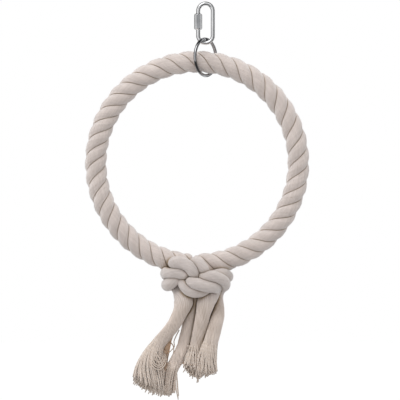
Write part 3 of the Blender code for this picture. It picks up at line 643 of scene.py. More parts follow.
def steel_material(name, colour, dull, bright, smear, scratch):
    """Bare or plated steel whose gloss and colour vary with smears and fine scratches."""
    material, tree, shader = new_material(name, {"Metallic": 1.0})
    sizes = {"Smear size": smear, "Scratch size": scratch}
    marks = put(tree, "ShaderNodeGroup", sizes, node_tree=handled_metal())
    wear = ramp(tree, marks.outputs["Smear"], 0.86, 1.04, 0.25, 0.75)
    feed(tree, shader.inputs["Base Color"], tint(tree, 1.0, (*colour, 1.0), wear, "MULTIPLY"))
    both = reckon(tree, "ADD", marks.outputs["Smear"], marks.outputs["Scratch"])
    feed(tree, shader.inputs["Roughness"], ramp(tree, both, bright, dull, 0.7, 1.3))
    inputs = {"Height": marks.outputs["Scratch"], "Distance": 0.02 * MM, "Strength": 0.35}
    feed(tree, shader.inputs["Normal"], put(tree, "ShaderNodeBump", inputs).outputs[0])
    return material


# Mesh helpers

def make_tubes(name, rows, material, yarn_map=None, hollow=0.0, wrapped=False, end_painted_shading=1.0):
    """One object of closed tubes from a grid of points: tube, row along it and column round it.

    Neighbouring rows are joined by quads. Each end is closed by a fan to the mean of its row, or the last
    row is joined to the first where the tube is wrapped into a ring. The yarn map, across and along, takes
    one more column, and one more row where wrapped, than the points have, so it has no jump at the seam. All
    faces are turned outwards together if the volume that they enclose comes out negative.
    """
    tubes, length, width = rows.shape[:3]
    count = length * width + (0 if wrapped else 2)
    start = count * np.arange(tubes)[:, None]
    points = rows.reshape(tubes, -1, 3)
    # Painted shading of each point, kept as a mesh attribute that the cotton's colour reads
    shade = np.broadcast_to(hollow, rows.shape[:3]).reshape(tubes, -1)
    sheet = np.stack(np.broadcast_arrays(*yarn_map), axis=-1) if yarn_map else np.zeros(2)
    sheet = np.broadcast_to(sheet, (tubes, length + (1 if wrapped else 0), width + 1, 2))
    row, column = np.indices((length if wrapped else length - 1, width))
    corner_rows = np.stack([row, row, row + 1, row + 1], axis=-1)
    corner_columns = np.stack([column, column + 1, column + 1, column], axis=-1)
    quads = (corner_rows % length) * width + corner_columns % width
    loops = [quads.reshape(1, -1) + start]
    yarn = [sheet[:, corner_rows, corner_columns].reshape(tubes, -1, 2)]
    sizes = [np.full((tubes, row.size), 4)]
    if not wrapped:
        here = np.arange(width)
        for which, end_row in enumerate((0, length - 1)):
            first, second = (here, here + 1) if which else (here + 1, here)
            rim = end_row * width + np.stack([first, second], axis=-1) % width
            fan = np.column_stack([rim, np.full(width, length * width + which)])
            loops.append(fan.reshape(1, -1) + start)
            yarn.append(sheet[:, end_row, np.stack([first, second, first], axis=-1)].reshape(tubes, -1, 2))
            sizes.append(np.full((tubes, width), 3))
        points = np.concatenate([points, rows[:, [0, -1]].mean(axis=2)], axis=1)
        # The middles of the ends take their own painted shading
        shade = np.concatenate([shade, np.full((tubes, 2), end_painted_shading)], axis=1)
    loops = np.concatenate(loops, axis=1).ravel()
    yarn = np.concatenate(yarn, axis=1).reshape(-1, 2)
    sizes = np.concatenate(sizes, axis=1).ravel()
    points = points.reshape(-1, 3)
    starts = np.cumsum(sizes) - sizes
    first, second, third = (points[loops[starts + step]] for step in range(3))
    last = points[loops[starts + sizes - 1]]
    volume = (first * (np.cross(second, third) + np.cross(third, last))).sum()
    if volume < 0.0:
        turned = np.repeat(2 * starts + sizes - 1, sizes) - np.arange(len(loops))
        loops, yarn = loops[turned], yarn[turned]
    mesh = bpy.data.meshes.new(name)
    mesh.vertices.add(len(points))
    mesh.vertices.foreach_set("co", points.astype(np.float32).ravel())
    mesh.loops.add(len(loops))
    mesh.loops.foreach_set("vertex_index", loops.astype(np.int32))
    mesh.polygons.add(len(sizes))
    mesh.polygons.foreach_set("loop_start", starts.astype(np.int32))
    mesh.update(calc_edges=True)
    mesh.uv_layers.new(name="yarn").data.foreach_set("uv", yarn.astype(np.float32).ravel())
    shades = mesh.attributes.new("hollow", "FLOAT", "POINT")
    shades.data.foreach_set("value", shade.astype(np.float32).ravel())
    mesh.shade_smooth()
    mesh.materials.append(material)
    if mesh.validate():
        raise ValueError(f"{name} came out with faces that had to be mended")
    piece = bpy.data.objects.new(name, mesh)
    bpy.context.scene.collection.objects.link(piece)
    return piece


def settle(piece, body, slot, *nodes):
    """Let a piece ride on its body and stand for CAD nodes, which it hides; the slot is not used."""
    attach(piece, body)
    if nodes:
        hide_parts(*nodes)
    return piece


def unit(vectors):
    """Vectors brought to a length of one."""
    return vectors / np.linalg.norm(vectors, axis=-1, keepdims=True)


def round_rows(centre, side, across, radius, sides):
    """Rings of points round a route.

    point = centre + radius (cosine of the angle times the side direction + its sine times the across one).
    """
    angle = np.arange(sides) * TURN / sides
    outward = np.cos(angle)[:, None] * side[..., None, :] + np.sin(angle)[:, None] * across[..., None, :]
    return centre[..., None, :] + radius[..., None] * outward


def smooth_step(value):
    """The soft step three squares less two cubes, held at both ends."""
    held = np.clip(value, 0.0, 1.0)
    return held * held * (3.0 - 2.0 * held)


def eased(value, low, high):
    """A soft step from nought at low to one at high."""
    return smooth_step((value - low) / (high - low))


def fading(kind, distance):
    """How dark a kind of painted shade is at a distance: its share times e to the minus distance over reach.
    """
    share, reach = PAINTED_SHADES[kind]
    return share * np.exp(-distance / reach)


def wandering(random, *places):
    """A smooth stray of about -1 to 1 over one or more places: sine waves of four lengths, added up."""
    total = 0.0
    for wave in (1.0, 1.7, 2.9, 4.3):
        phase = random.uniform(0.0, TURN)
        total = total + np.sin(sum(place * wave * random.uniform(0.7, 1.3) for place in places) + phase)
    return total / 2.6


# Rope

def lay_angle(along):
    """Angle of the first strand's middle round the rope's axis: a steady lay with one slow sway."""
    turns = LAY_START + LAY_TURNS * along / TURN + LAY_SWAY * np.sin(along - LAY_SWAY_ANGLE)
    return LAY_SEAT - TURN * turns


def rope_scale(along, hoop_radius):
    """Share of the rope's full radius at an angle along the hoop: a quarter circle rounds off both ends."""
    left = (along * hoop_radius - ROPE_LEFT_END) / ROPE_END_TAPER
    right = ((TURN - along) * hoop_radius - ROPE_RIGHT_END) / ROPE_END_TAPER
    inward = 1.0 - np.clip(np.minimum(left, right), 0.0, 1.0)
    return ROPE_END_SCALE + (1.0 - ROPE_END_SCALE) * np.sqrt(1.0 - inward ** 2)


def rope_strand_section(look):
    """One strand's section round the rope's axis: radius, angle and painted shade of each point of its
    outline.

    The outside is an arc of a circle set out from the rope's axis. Near each flank it drops by a quarter
    circle, so two neighbours meet in a narrow crease, which takes painted shade. Flanks and an inner arc
    close the outline and take full painted shade.
    """
    flank = math.pi / STRAND_COUNT - FLANK_GAP
    spread = np.linspace(-1.0, 1.0, FACE_COLUMNS)
    angle = flank * np.sign(spread) * (1.0 - (1.0 - np.abs(spread)) ** FACE_CROWDING)
    lobe = look.rope_radius - look.lobe_offset
    radius = look.lobe_offset * np.cos(angle) + np.sqrt(lobe ** 2 - (look.lobe_offset * np.sin(angle)) ** 2)
    edge = radius * (flank - np.abs(angle))
    inner = np.clip(look.shoulder - edge, 0.0, look.shoulder)
    radius = radius - (look.shoulder - np.sqrt(look.shoulder ** 2 - inner ** 2))
    crease = np.clip(1.0 - edge / (CREASE_SHOULDERS * look.shoulder), 0.0, 1.0)
    hidden = np.full(len(FLANK_RADII), HEART_RADIUS)
    turn_back = np.linspace(flank, -flank, len(hidden) + 2)[1:-1]
    radius = np.concatenate([radius, FLANK_RADII, hidden, FLANK_RADII[::-1]])
    angle = np.concatenate([angle, np.full(len(hidden), flank), turn_back, np.full(len(hidden), -flank)])
    hollow = np.concatenate([CREASE_PAINTED_SHADE * crease ** CREASE_FALL, np.ones(3 * len(hidden))])
    return radius, angle, hollow


def lay_rope_strand(number, look, material):
    """A strand laid round the hoop: its section, turned by the lay, is carried round a circle.

    point = hoop point + radius (cosine of the angle outwards + sine of the angle backwards).
    """
    random = np.random.default_rng(ROPE_SEED + number)
    run = np.linspace(ROPE_LEFT_END, TURN * look.hoop_radius - ROPE_RIGHT_END, ROPE_STATIONS)
    along = run / look.hoop_radius
    radius, angle, hollow = rope_strand_section(look)
    turned = lay_angle(along)[:, None] + angle[None, :] + number * TURN / STRAND_COUNT
    outside = np.clip((radius - FACE_LOW) / (FACE_HIGH - FACE_LOW), 0.0, 1.0)
    waves = wandering(random, WANDER_ALONG * along[:, None], WANDER_ROUND * angle[None, :])
    stray = look.wander * outside * waves
    reach = radius[None, :] * rope_scale(along, look.hoop_radius)[:, None] + stray
    outward = np.stack([-np.sin(along), 0.0 * along, -np.cos(along)], axis=-1)
    rows = (look.hoop_radius + reach * np.cos(turned))[..., None] * outward[:, None, :]
    rows = HOOP_CENTRE + rows + (reach * np.sin(turned))[..., None] * AWAY
    hollow = np.tile(hollow, (len(along), 1))
    knot = np.minimum(along, TURN - along) * look.hoop_radius < KNOT_SPAN
    near = np.maximum(skins_away(rows[knot], tied_strands()), 0.0).min(axis=-1)
    covered = overlapped(rows[knot], np.sin(turned[knot])[..., None] * AWAY, tied_strands())
    # Painted shade on the rope where the knot lies against it, near it and over it
    hollow[knot] += fading("rope against knot", near) + fading("rope near knot", near)
    hollow[knot] += fading("rope under knot", covered)
    spread = np.concatenate([turned, turned[:, :1] + TURN], axis=1) * look.rope_radius / look.yarn_width
    name = f"rope_strand_{number + 1}"
    yarn_map = (spread, (run / look.yarn_width)[:, None])
    piece = make_tubes(f"laid_{name}", rows[None], material, yarn_map, hollow)
    return settle(piece, "hoop", "cotton_rope", name)


def rope_depth(points, look):
    """Distance of points outside the rope's round skin."""
    local = points - HOOP_CENTRE
    along = np.mod(np.arctan2(-local[..., 0], -local[..., 2]), TURN)
    reach = np.maximum(rope_scale(along, look.hoop_radius), rope_scale(along + TURN, look.hoop_radius))
    ring = np.hypot(local[..., 0], local[..., 2]) - look.hoop_radius
    return np.hypot(ring, local[..., 1]) - look.rope_radius * reach


# Knot and tassels

def knot_seat():
    """The hoop's lowest point, from which the routes of strands and yarns are measured."""
    return HOOP_CENTRE - bpy.context.scene.swing_rope.hoop_radius * UP


def smooth_route(points):
    """A smooth curve through points, made of cubic pieces.

    The slope at a point is half the way from the point before to the point after. Past both ends the next
    points are reflected.
    """
    points = np.array(points, float)
    padded = np.concatenate([[2.0 * points[0] - points[1]], points, [2.0 * points[-1] - points[-2]]])
    before, here, there, after = (padded[step:len(padded) - 3 + step, None, :] for step in range(4))
    share = (np.arange(ROUTE_SAMPLES) / ROUTE_SAMPLES)[None, :, None]
    curve = 0.5 * (2.0 * here + (there - before) * share
                   + (2.0 * before - 5.0 * here + 4.0 * there - after) * share ** 2
                   + (3.0 * here - before - 3.0 * there + after) * share ** 3)
    return np.concatenate([curve.reshape(-1, 3), points[-1:]])


def carry_sides(tangents):
    """A side direction at each station: the first is carried along without twist, square to the route."""
    side = np.eye(3)[np.argmin(np.abs(tangents[0]))]
    sides = []
    for tangent in tangents:
        side = unit(side - tangent * (side @ tangent))
        sides.append(side)
    return np.array(sides)


class TiedStrand:
    """One strand end: its route, its plain radius and how far it reaches in each direction once pressed."""

    def __init__(self, name, plan, look):
        self.name = name
        self.plan = plan
        route = knot_seat() + MM * smooth_route(plan["knot"] + plan["tassel"])
        run = np.concatenate([[0.0], np.cumsum(np.linalg.norm(np.diff(route, axis=0), axis=1))])
        self.leaves = run[(len(plan["knot"]) - 1) * ROUTE_SAMPLES]
        self.length = run[-1]
        self.opens = self.leaves + plan["open"] * (self.length - self.leaves)
        self.places = np.linspace(0.0, self.length, int(self.length / STATION_STEP) + 1)
        self.centre = np.stack([np.interp(self.places, run, route[:, axis]) for axis in range(3)], axis=-1)
        self.tangent = unit(np.gradient(self.centre, axis=0))
        self.side = carry_sides(self.tangent)
        self.across = np.cross(self.tangent, self.side)
        swell = smooth_step((self.places - self.leaves) / TASSEL_SWELL)
        mouth = plan["mouth"] * np.exp(-((self.places - self.leaves) / MOUTH_LENGTH) ** 2)
        plain = plan["radius"] + (plan["tassel_radius"] - plan["radius"]) * swell + mouth
        self.radius = look.fullness * MM * plain
        self.reach = None

    def press(self, strands, look, rope_look):
        """Grow the sections until they meet something.

        The reach in a direction is the furthest point that is not nearer to another strand's round skin than
        to this one's own, not inside the rope and not past the middle of a tight bend. Halving finds it.
        """
        angle = np.arange(PRESS_ANGLES)[:, None] * TURN / PRESS_ANGLES
        directions = np.cos(angle) * self.side[:, None, :] + np.sin(angle) * self.across[:, None, :]
        curve = np.gradient(self.tangent, axis=0) / STATION_STEP
        inward = np.maximum(np.einsum("ik,ijk->ij", curve, directions), 1e-6)
        nose = np.sqrt(1.0 - np.clip(1.0 - self.places / self.radius, 0.0, 1.0) ** 2)
        limit = np.minimum((self.radius * np.maximum(nose, NOSE_LEAST))[:, None], BEND_LIMIT / inward)
        low, high = LEAST_REACH * limit, limit
        for _ in range(PRESS_HALVINGS):
            middle = 0.5 * (low + high)
            points = self.centre[:, None, :] + middle[..., None] * directions
            beyond = middle - self.radius[:, None]
            away = skins_away(points, strands, self, self.places).min(axis=-1)
            free = (rope_depth(points, rope_look) >= -look.rope_sink) & (away >= beyond + look.touch_gap)
            low = np.where(free, middle, low)
            high = np.where(free, high, middle)
        for _ in range(PRESS_SMOOTHINGS):
            low = 0.25 * np.roll(low, 1, 1) + 0.5 * low + 0.25 * np.roll(low, -1, 1)
            low[1:-1] = 0.25 * low[:-2] + 0.5 * low[1:-1] + 0.25 * low[2:]
        self.reach = low

    def fan(self, places):
        """How far the yarns are opened, and how much wider that makes the strand across and in depth."""
        opened = np.clip((places - self.opens) / (self.length - self.opens), 0.0, 1.0)
        flare = 1.0 - (1.0 - opened ** FAN_FLARE) ** 2
        across, deep = self.plan["fan"]
        return opened, 1.0 + (across - 1.0) * flare, 1.0 + (deep - 1.0) * flare

    def twist(self, places, look):
        """Turn of the yarns round the strand at places along it: a left-hand lay, eased where they open."""
        turned = np.minimum(places, self.opens) + FAN_TWIST * np.maximum(places - self.opens, 0.0)
        return -TURN * turned / look.lay_length

    def at(self, places, angles, share):
        """Centre, outward direction, shared reach, side and across at places and angles, past the end too.

        Each is read between the stations and the pressed directions on either side of the place and angle.
        """
        row = np.clip(places / self.places[1], 0.0, len(self.places) - 1.001)
        low = row.astype(int)
        part = row - low
        column = (angles / TURN * PRESS_ANGLES) % PRESS_ANGLES
        left = column.astype(int) % PRESS_ANGLES
        right = (left + 1) % PRESS_ANGLES
        over = column - np.floor(column)
        reach = ((1 - part) * ((1 - over) * self.reach[low, left] + over * self.reach[low, right])
                 + part * ((1 - over) * self.reach[low + 1, left] + over * self.reach[low + 1, right]))
        weight = part[..., None]
        centre, side, across = ((1 - weight) * table[low] + weight * table[low + 1]
                                for table in (self.centre, self.side, self.across))
        centre = centre + np.maximum(places - self.length, 0.0)[..., None] * self.tangent[-1]
        outward = np.cos(angles)[..., None] * side + np.sin(angles)[..., None] * across
        return centre, outward, share * reach, side, across


@lru_cache(maxsize=1)
def tied_strands():
    """The six strand ends, pressed against the rope and each other."""
    look, rope_look = bpy.context.scene.swing_knot, bpy.context.scene.swing_rope
    strands = [TiedStrand(name, plan, look) for name, plan in STRAND_PLANS.items()]
    for strand in strands:
        strand.press(strands, look, rope_look)
    return strands


def skins_away(points, strands, own=None, places=None):
    """Distances of rows of points from the strands' round skins, from their own one only its far parts."""
    flat = points.reshape(-1, 3)
    found = []
    for other in strands:
        square = ((flat ** 2).sum(1)[:, None] + (other.centre ** 2).sum(1)[None, :]
                  - 2.0 * flat @ other.centre.T)
        depth = np.sqrt(np.maximum(square, 0.0)) - other.radius[None, :]
        if other is own:
            apart = np.abs(places[:, None] - own.places[None, :])
            apart = apart > SELF_TOUCH_RADII * np.interp(places, own.places, own.radius)[:, None]
            depth = np.where(np.repeat(apart, points.shape[1], axis=0), depth, FAR)
        found.append(depth.min(axis=1))
    return np.stack(found, axis=-1).reshape(*points.shape[:-1], len(strands))


def overlapped(points, outward, strands):
    """How far points lie, in the hoop's plane, from outlines of strands that cover them where they face.

    A gap in depth counts for a quarter, and the way inside an outline for a half.
    """
    least_cover = 0.5 * MM
    flat = points.reshape(-1, 3)
    face = np.where(outward.reshape(-1, 3)[:, 1:2] < 0.0, -1.0, 1.0)
    found = np.full(len(flat), FAR)
    for other in strands:
        right, back, up = (other.centre[None, :, axis] - flat[:, axis:axis + 1] for axis in range(3))
        beside = np.hypot(right, up) - other.radius[None, :]
        over = back * face
        nearest = np.argmin(np.where(over > least_cover, beside, FAR), axis=1)[:, None]
        beside, over = (np.take_along_axis(table, nearest, axis=1) for table in (beside, over))
        gap = np.maximum(over - other.radius[nearest], 0.0)
        away = np.where(beside < 0.0, -0.5 * beside, beside) + 0.25 * gap
        found = np.minimum(found, np.where(over > least_cover, away, FAR)[:, 0])
    return found.reshape(points.shape[:-1])


def strand_painted_shading(strand, rows, outward, reach, places, loose, look, rope_look):
    """Painted shade on the points of a strand's skin that lie in creases between it, the other strands and
    the rope.

    Lines where two skins touch, pockets between three of them, edges of strands that lie over this one and
    the stretch just below the knot are added up as painted shade, each fading with its distance. Hanging
    stretches take more of it than tied ones.
    """
    own = reach - np.interp(places, strand.places, strand.radius)[:, None]
    skins = skins_away(rows, tied_strands(), strand, places) - own[..., None]
    rope = rope_depth(rows, rope_look) + look.rope_sink
    skins = np.sort(np.concatenate([skins, rope[..., None]], axis=-1), axis=-1)
    near, next_near = np.moveaxis(np.maximum(skins[..., :2], 0.0), -1, 0)
    beside = overlapped(rows, outward, [other for other in tied_strands() if other is not strand])
    below = eased(places - strand.leaves, *BELOW_RISE) * (1.0 - eased(places - strand.leaves, *BELOW_FALL))
    hollow = fading("skins touch", near) + fading("skins near", near)
    hollow = hollow + fading("pocket", near) * fading("pocket side", next_near)
    hollow = hollow + (OVERLAP_TIED + OVERLAP_LOOSE * loose)[:, None] * fading("overlap", beside)
    hollow = hollow + below[:, None] * fading("below knot", beside)
    return hollow + loose[:, None] * fading("tassels touch", near)


def make_strand(strand, look, rope_look, material):
    """A strand's surface: its pressed section carried along the route, with yarn ridges turning round it.

    radius = reach x core share + ridge height x a rounded ridge across each yarn, widened by the fan. The
    core thins from where the yarns come loose and ends inside them.
    """
    random = np.random.default_rng(look.seed + len(strand.name))
    stop = strand.length - CORE_SHORT
    places = np.arange(0.0, stop, STATION_STEP)
    columns = look.yarns_round * SAMPLES_PER_YARN
    steps = np.arange(columns + 1)
    angles = steps[None, :] * TURN / columns + strand.twist(places, look)[:, None]
    opened, wide, deep = strand.fan(places)
    point = eased(places, stop - CORE_POINT_LENGTH, stop)
    share = 1.0 - CORE_THINNING * eased(opened, 0.0, CORE_THINS_BY) - CORE_POINT * point
    centre, outward, reach, _, _ = strand.at(places[:, None] + 0.0 * angles, angles, share[:, None])
    loose = eased(places - strand.leaves, *LOOSE_SPAN)
    height = look.ridge + (look.tassel_ridge - look.ridge) * loose
    crown = YARN_CROWN[steps % SAMPLES_PER_YARN]
    waves = wandering(random, steps[None, :] * RIDGE_ROUND, places[:, None] / RIDGE_WAVE)
    uneven = 1.0 + RIDGE_UNEVEN * waves
    stray = SKIN_STRAY * wandering(random, places[:, None] / SKIN_WAVE, SKIN_ROUND * np.cos(angles))
    radius = reach + height[:, None] * crown[None, :] * uneven + stray
    radius[:, -1] = radius[:, 0]
    offset = radius[..., None] * outward
    offset[..., 0] *= 1.0 + CORE_FAN * (wide[:, None] - 1.0)
    offset[..., 1] *= 1.0 + CORE_FAN * (deep[:, None] - 1.0)
    rows = centre + offset
    hollow = strand_painted_shading(strand, rows, outward, reach, places, loose, look, rope_look)
    # Painted shade in the valleys between yarns and where the fan opens
    valley = (crown < 0.0)[None, :] * np.clip(uneven, *RIDGE_RANGE)
    hollow = hollow + valley * (VALLEY_TIED + VALLEY_LOOSE * loose)[:, None]
    hollow = hollow + FAN_PAINTED_SHADE * eased(opened, 0.0, FAN_PAINTED_SHADE_BY)[:, None]
    # A plan's painted light brightens the hanging stretch; the painted shading is held between its least and
    # most
    hollow = np.clip(hollow - strand.plan.get("painted_light", 0.0) * loose[:, None], PAINTED_SHADING_LEAST, PAINTED_SHADING_MOST)
    yarn_map = (steps[None, :] / SAMPLES_PER_YARN, (places / rope_look.yarn_width)[:, None])
    piece = make_tubes(f"strand_{strand.name}", rows[None, :, :-1], material, yarn_map, hollow[:, :-1])
    return settle(piece, "hoop", "cotton_rope", f"knot_strand_{strand.name}", f"tassel_{strand.name}")


def thin_yarns(name, middle, side, across, thick, run, along, hollow, look, material):
    """Yarns as thin tubes along their middles. Their map turns by one ply in each length of ply lay."""
    number = YARN_SHIFT * np.arange(len(middle))[:, None, None]
    face = 2.0 * np.arange(YARN_SIDES + 1) / YARN_SIDES + run[..., None] / look.ply_lay + number
    rows = round_rows(middle, side, across, thick[..., None], YARN_SIDES)
    piece = make_tubes(name, rows, material, (face, along[..., None]), hollow, end_painted_shading=YARN_END_PAINTED_SHADE)
    return settle(piece, "hoop", "cotton_rope")


def seat_yarns(strand, look, random):
    """Angle and share of the reach of each loose yarn: on rings from the strand's skin to its middle.

    On each ring they stand evenly along the widened outline, from a chance start, with a little stray.
    """
    wide, deep = strand.plan["fan"]
    room = math.pi * MM * strand.plan["tassel_radius"] * (1.0 + FAN_ROOM * (wide - 1.0))
    counts = [max(3, round(room * share / look.yarn_radius)) for share in YARN_SHARES]
    turn = np.linspace(0.0, TURN, OUTLINE_SAMPLES)
    run = np.concatenate([[0.0], np.cumsum(np.hypot(wide * np.sin(turn), deep * np.cos(turn))[1:])])
    even = np.concatenate([np.interp((np.arange(count) + random.uniform()) / count * run[-1], run, turn)
                           for count in counts])
    way = np.stack([np.cos(even), np.sin(even), 0.0 * even], axis=-1)
    angle = np.arctan2(way @ strand.across[-1], way @ strand.side[-1]) - strand.twist(strand.length, look)
    angle = angle + random.normal(0.0, ANGLE_STRAY, len(angle))
    share = np.repeat(YARN_SHARES, counts) + random.normal(0.0, SHARE_STRAY, len(angle))
    return angle, np.clip(share, 0.0, 1.0)


def make_yarns(strand, look, material):
    """The loose yarns of one cut strand end: they leave the core, open into a fan and end unevenly.

    point = strand point at the yarn's angle and share, with its offset widened by the fan, plus a stray and
    a waver that grow towards the cut. The cut slopes across and in depth.
    """
    random = np.random.default_rng(look.seed + 7 * len(strand.name) + ord(strand.name[0]))
    angle, share = seat_yarns(strand, look, random)
    yarns = len(share)
    early = np.where(share > OUTER_SHARE, random.uniform(*OUTER_START, yarns), INNER_START)
    start = strand.opens + (strand.length - strand.opens) * early
    end_angle = angle + strand.twist(strand.length, look)
    _, outward, reach, _, _ = strand.at(np.full(yarns, strand.length), end_angle, share)
    offset = outward * reach[:, None]
    slope_right, slope_back = strand.plan["cut"]
    slope = slope_right * offset[:, 0] * strand.plan["fan"][0] + slope_back * offset[:, 1]
    stop = strand.length + slope + random.normal(0.0, look.uneven, yarns) - YARN_SHORT
    step = np.linspace(0.0, 1.0, YARN_STATIONS)
    places = start[:, None] + step * (stop - start)[:, None]
    angles = angle[:, None] + strand.twist(places, look)
    emerge = np.interp(step, *YARN_EMERGES)
    centre, outward, reach, side, across = strand.at(places, angles, share[:, None] * emerge)
    opened, wide, deep = strand.fan(places)
    spread = outward * reach[..., None]
    spread[..., 0] *= wide
    spread[..., 1] *= deep
    stray = random.normal(0.0, look.stray, (yarns, 1, 3)) * STRAY_SHARES
    wave = random.uniform(*WAVER_LENGTH, (yarns, 1)) * MM
    waver = np.sin(places / wave + random.uniform(0.0, TURN, (yarns, 1)))
    waver = waver * random.uniform(*WAVER_WIDTH, (yarns, 1)) * MM * opened
    middle = centre + spread + stray * (opened ** 2)[..., None] + waver[..., None] * across
    middle[..., 1] -= strand.plan.get("lean", 0.0) * MM * opened ** LEAN_POWER
    thick = look.yarn_radius * np.interp(step, *YARN_THICKNESS)
    thick = thick * random.uniform(*THICKNESS_SPREAD, (yarns, 1))
    # Painted shade on the inner yarns, less where the fan opens
    inside = INNER_PAINTED_SHADE * eased(OUTER_SHARE - share, 0.0, INNER_DEPTH)[:, None]
    inside = inside * (1.0 - INNER_LIGHTENS * opened)
    return thin_yarns(f"yarns_{strand.name}", middle, side, across, thick, places,
                      places / (2.0 * look.yarn_radius), inside[..., None], look, material)


def make_loose_yarns(look, material):
    """Yarns along routes of their own: a round section carried along a smooth curve, thin at its end."""
    centre = knot_seat() + MM * np.stack([smooth_route(points)[::LOOSE_EVERY] for points in LOOSE_YARNS])
    tangent = unit(np.gradient(centre, axis=1))
    side = unit(np.cross(tangent, AWAY))
    step = np.linspace(0.0, 1.0, centre.shape[1])[None, :]
    thick = look.yarn_radius * np.interp(step, *LOOSE_THICKNESS)
    return thin_yarns("loose_yarns", centre, side, np.cross(tangent, side), thick, LOOSE_RUN * step,
                      LOOSE_MAP * step, YARN_END_PAINTED_SHADE, look, material)


# Steel

def make_link(look, material):
    """The link's bar: up from the gate, round the top bow, down the right leg and round to the gate again.

    The stub above the gate has a thread: its radius falls by a cosine wave that turns once in each pitch.
    """
    bow = (look.inside_width + look.bar_diameter) / 2.0
    top = -look.inside_width / 2.0
    bottom = -look.inside_length + look.inside_width / 2.0
    gate_low = -look.gate_top - look.gate_gap
    turn = np.linspace(math.pi, 0.0, BOW_STATIONS)
    stub = np.linspace(-look.gate_top, -look.gate_top + THREAD_LENGTH, THREAD_STATIONS)

    def leg(side, heights):
        """A straight stretch: place across and up, and the outward direction across and up."""
        return side * bow + 0.0 * heights, heights, side + 0.0 * heights, 0.0 * heights

    parts = [leg(-1.0, stub),
             leg(-1.0, np.linspace(stub[-1], top, LEG_STATIONS["above gate"])[1:-1]),
             (bow * np.cos(turn), top + bow * np.sin(turn), np.cos(turn), np.sin(turn)),
             leg(1.0, np.linspace(top, bottom, LEG_STATIONS["right"])[1:-1]),
             (bow * np.cos(turn[::-1]), bottom - bow * np.sin(turn), np.cos(turn[::-1]), -np.sin(turn)),
             leg(-1.0, np.linspace(bottom, gate_low, LEG_STATIONS["below gate"])[1:])]
    across, up, normal_across, normal_up = (np.concatenate(column) for column in zip(*parts))
    centre = np.stack([across, 0.0 * across, up], axis=-1)
    normal = np.stack([normal_across, 0.0 * across, normal_up], axis=-1)
    sideways = np.cross(unit(np.gradient(centre, axis=0)), normal)
    radius = np.full((len(centre), WIRE_SIDES), look.bar_diameter / 2.0)
    angle = np.arange(WIRE_SIDES) * TURN / WIRE_SIDES
    wave = 0.5 - 0.5 * np.cos(TURN * stub[:, None] / look.thread_pitch - angle[None, :])
    radius[:len(stub)] -= THREAD_DEPTH * wave * smooth_step((stub[-1] - stub) / THREAD_RUN_OUT)[:, None]
    radius[:len(STUB_END)] *= STUB_END
    radius[-1] *= GATE_END
    piece = make_tubes("link_bar", round_rows(centre, normal, sideways, radius, WIRE_SIDES)[None], material)
    return settle(piece, "link", "plated_steel", "quick_link_body")


def make_sleeve(look, material):
    """The gate's sleeve: a hexagon turned to a cone at both ends and bored through.

    radius = the smaller of the hexagon's flat distance over the cosine of the angle from the flat's middle,
    a little crowned, and the turned form at that height. The upper half mirrors the lower one, and the bore
    closes the surface inside.
    """
    corner = look.sleeve_corners / 2.0
    flat = corner * math.cos(math.pi / 6.0)
    waist = SLEEVE_WAIST * corner
    nose = corner - look.sleeve_chamfer
    bore = look.sleeve_bore / 2.0
    half = (SLEEVE_HIGH[2] - SLEEVE_LOW[2]) / 2.0
    lip, edge, face = 0.25 * MM, 0.12 * MM, 0.1 * MM
    chamfer = np.linspace(edge, look.sleeve_chamfer, 7)[1:]
    cone = nose + chamfer * (waist - nose) / look.sleeve_chamfer
    rise = np.concatenate([[lip, 0.0, 0.0, edge], chamfer, [0.6 * half]])
    form = np.concatenate([[bore, bore + lip, nose - face, nose + edge], cone, [waist]])
    height = np.concatenate([rise - half, half - rise[::-1], [0.3 * half, -0.3 * half]])
    turned = np.concatenate([form, form[::-1], [bore, bore]])
    from_flat = np.radians([-28.4, -24.0, -12.0, 0.0, 12.0, 24.0, 28.4])
    angle = np.concatenate([from_flat + step * math.pi / 3.0 for step in range(6)]) - math.pi / 2.0
    hexagon = np.tile((1.0 - SLEEVE_CROWN) * flat / np.cos(from_flat) + SLEEVE_CROWN * 1.05 * flat, 6)
    radius = np.minimum(hexagon[None, :], turned[:, None])
    axis = (SLEEVE_LOW + SLEEVE_HIGH) / 2.0
    level = np.broadcast_to(height[:, None], radius.shape)
    rows = axis + np.stack([radius * np.cos(angle), radius * np.sin(angle), level], axis=-1)
    piece = make_tubes("gate_sleeve", rows[None], material, wrapped=True)
    piece.data.set_sharp_from_angle(angle=SLEEVE_SHARP)
    return settle(piece, "sleeve", "plated_steel", "quick_link_sleeve")


def make_ring(look, material):
    """The hanging ring: a round wire on an upright circle, a little swollen where it is welded."""
    around = (np.arange(RING_STATIONS) * TURN / RING_STATIONS)[:, None]
    flat = np.array([math.cos(look.ring_turn), math.sin(look.ring_turn), 0.0])
    normal = np.cos(around) * flat + np.sin(around) * UP
    along = -np.sin(around) * flat + np.cos(around) * UP
    middle = (look.ring_outside - look.ring_wire) / 2.0
    centre = (RING_LOW + RING_HIGH) / 2.0 + middle * normal
    radius = look.ring_wire / 2.0 + WELD_HEIGHT * np.exp(-((around - WELD_ANGLE) / WELD_WIDTH) ** 2)
    rows = round_rows(centre, normal, np.cross(along, normal), radius, WIRE_SIDES)
    piece = make_tubes("ring_wire", rows[None], material, wrapped=True)
    return settle(piece, "ring", "plated_steel", "hanging_ring")


# Stage

def stage_panel(name, corners, material, seen=False):
    """A flat panel of the stage. Unless it is seen, only mirror-like reflections find it."""
    mesh = bpy.data.meshes.new(name)
    mesh.from_pydata(corners, [], [(0, 1, 2, 3)])
    mesh.materials.append(material)
    panel = bpy.data.objects.new(name, mesh)
    bpy.context.scene.collection.objects.link(panel)
    panel.visible_diffuse = False
    if not seen:
        panel.visible_camera = False
        panel.visible_shadow = False
        panel.visible_transmission = False


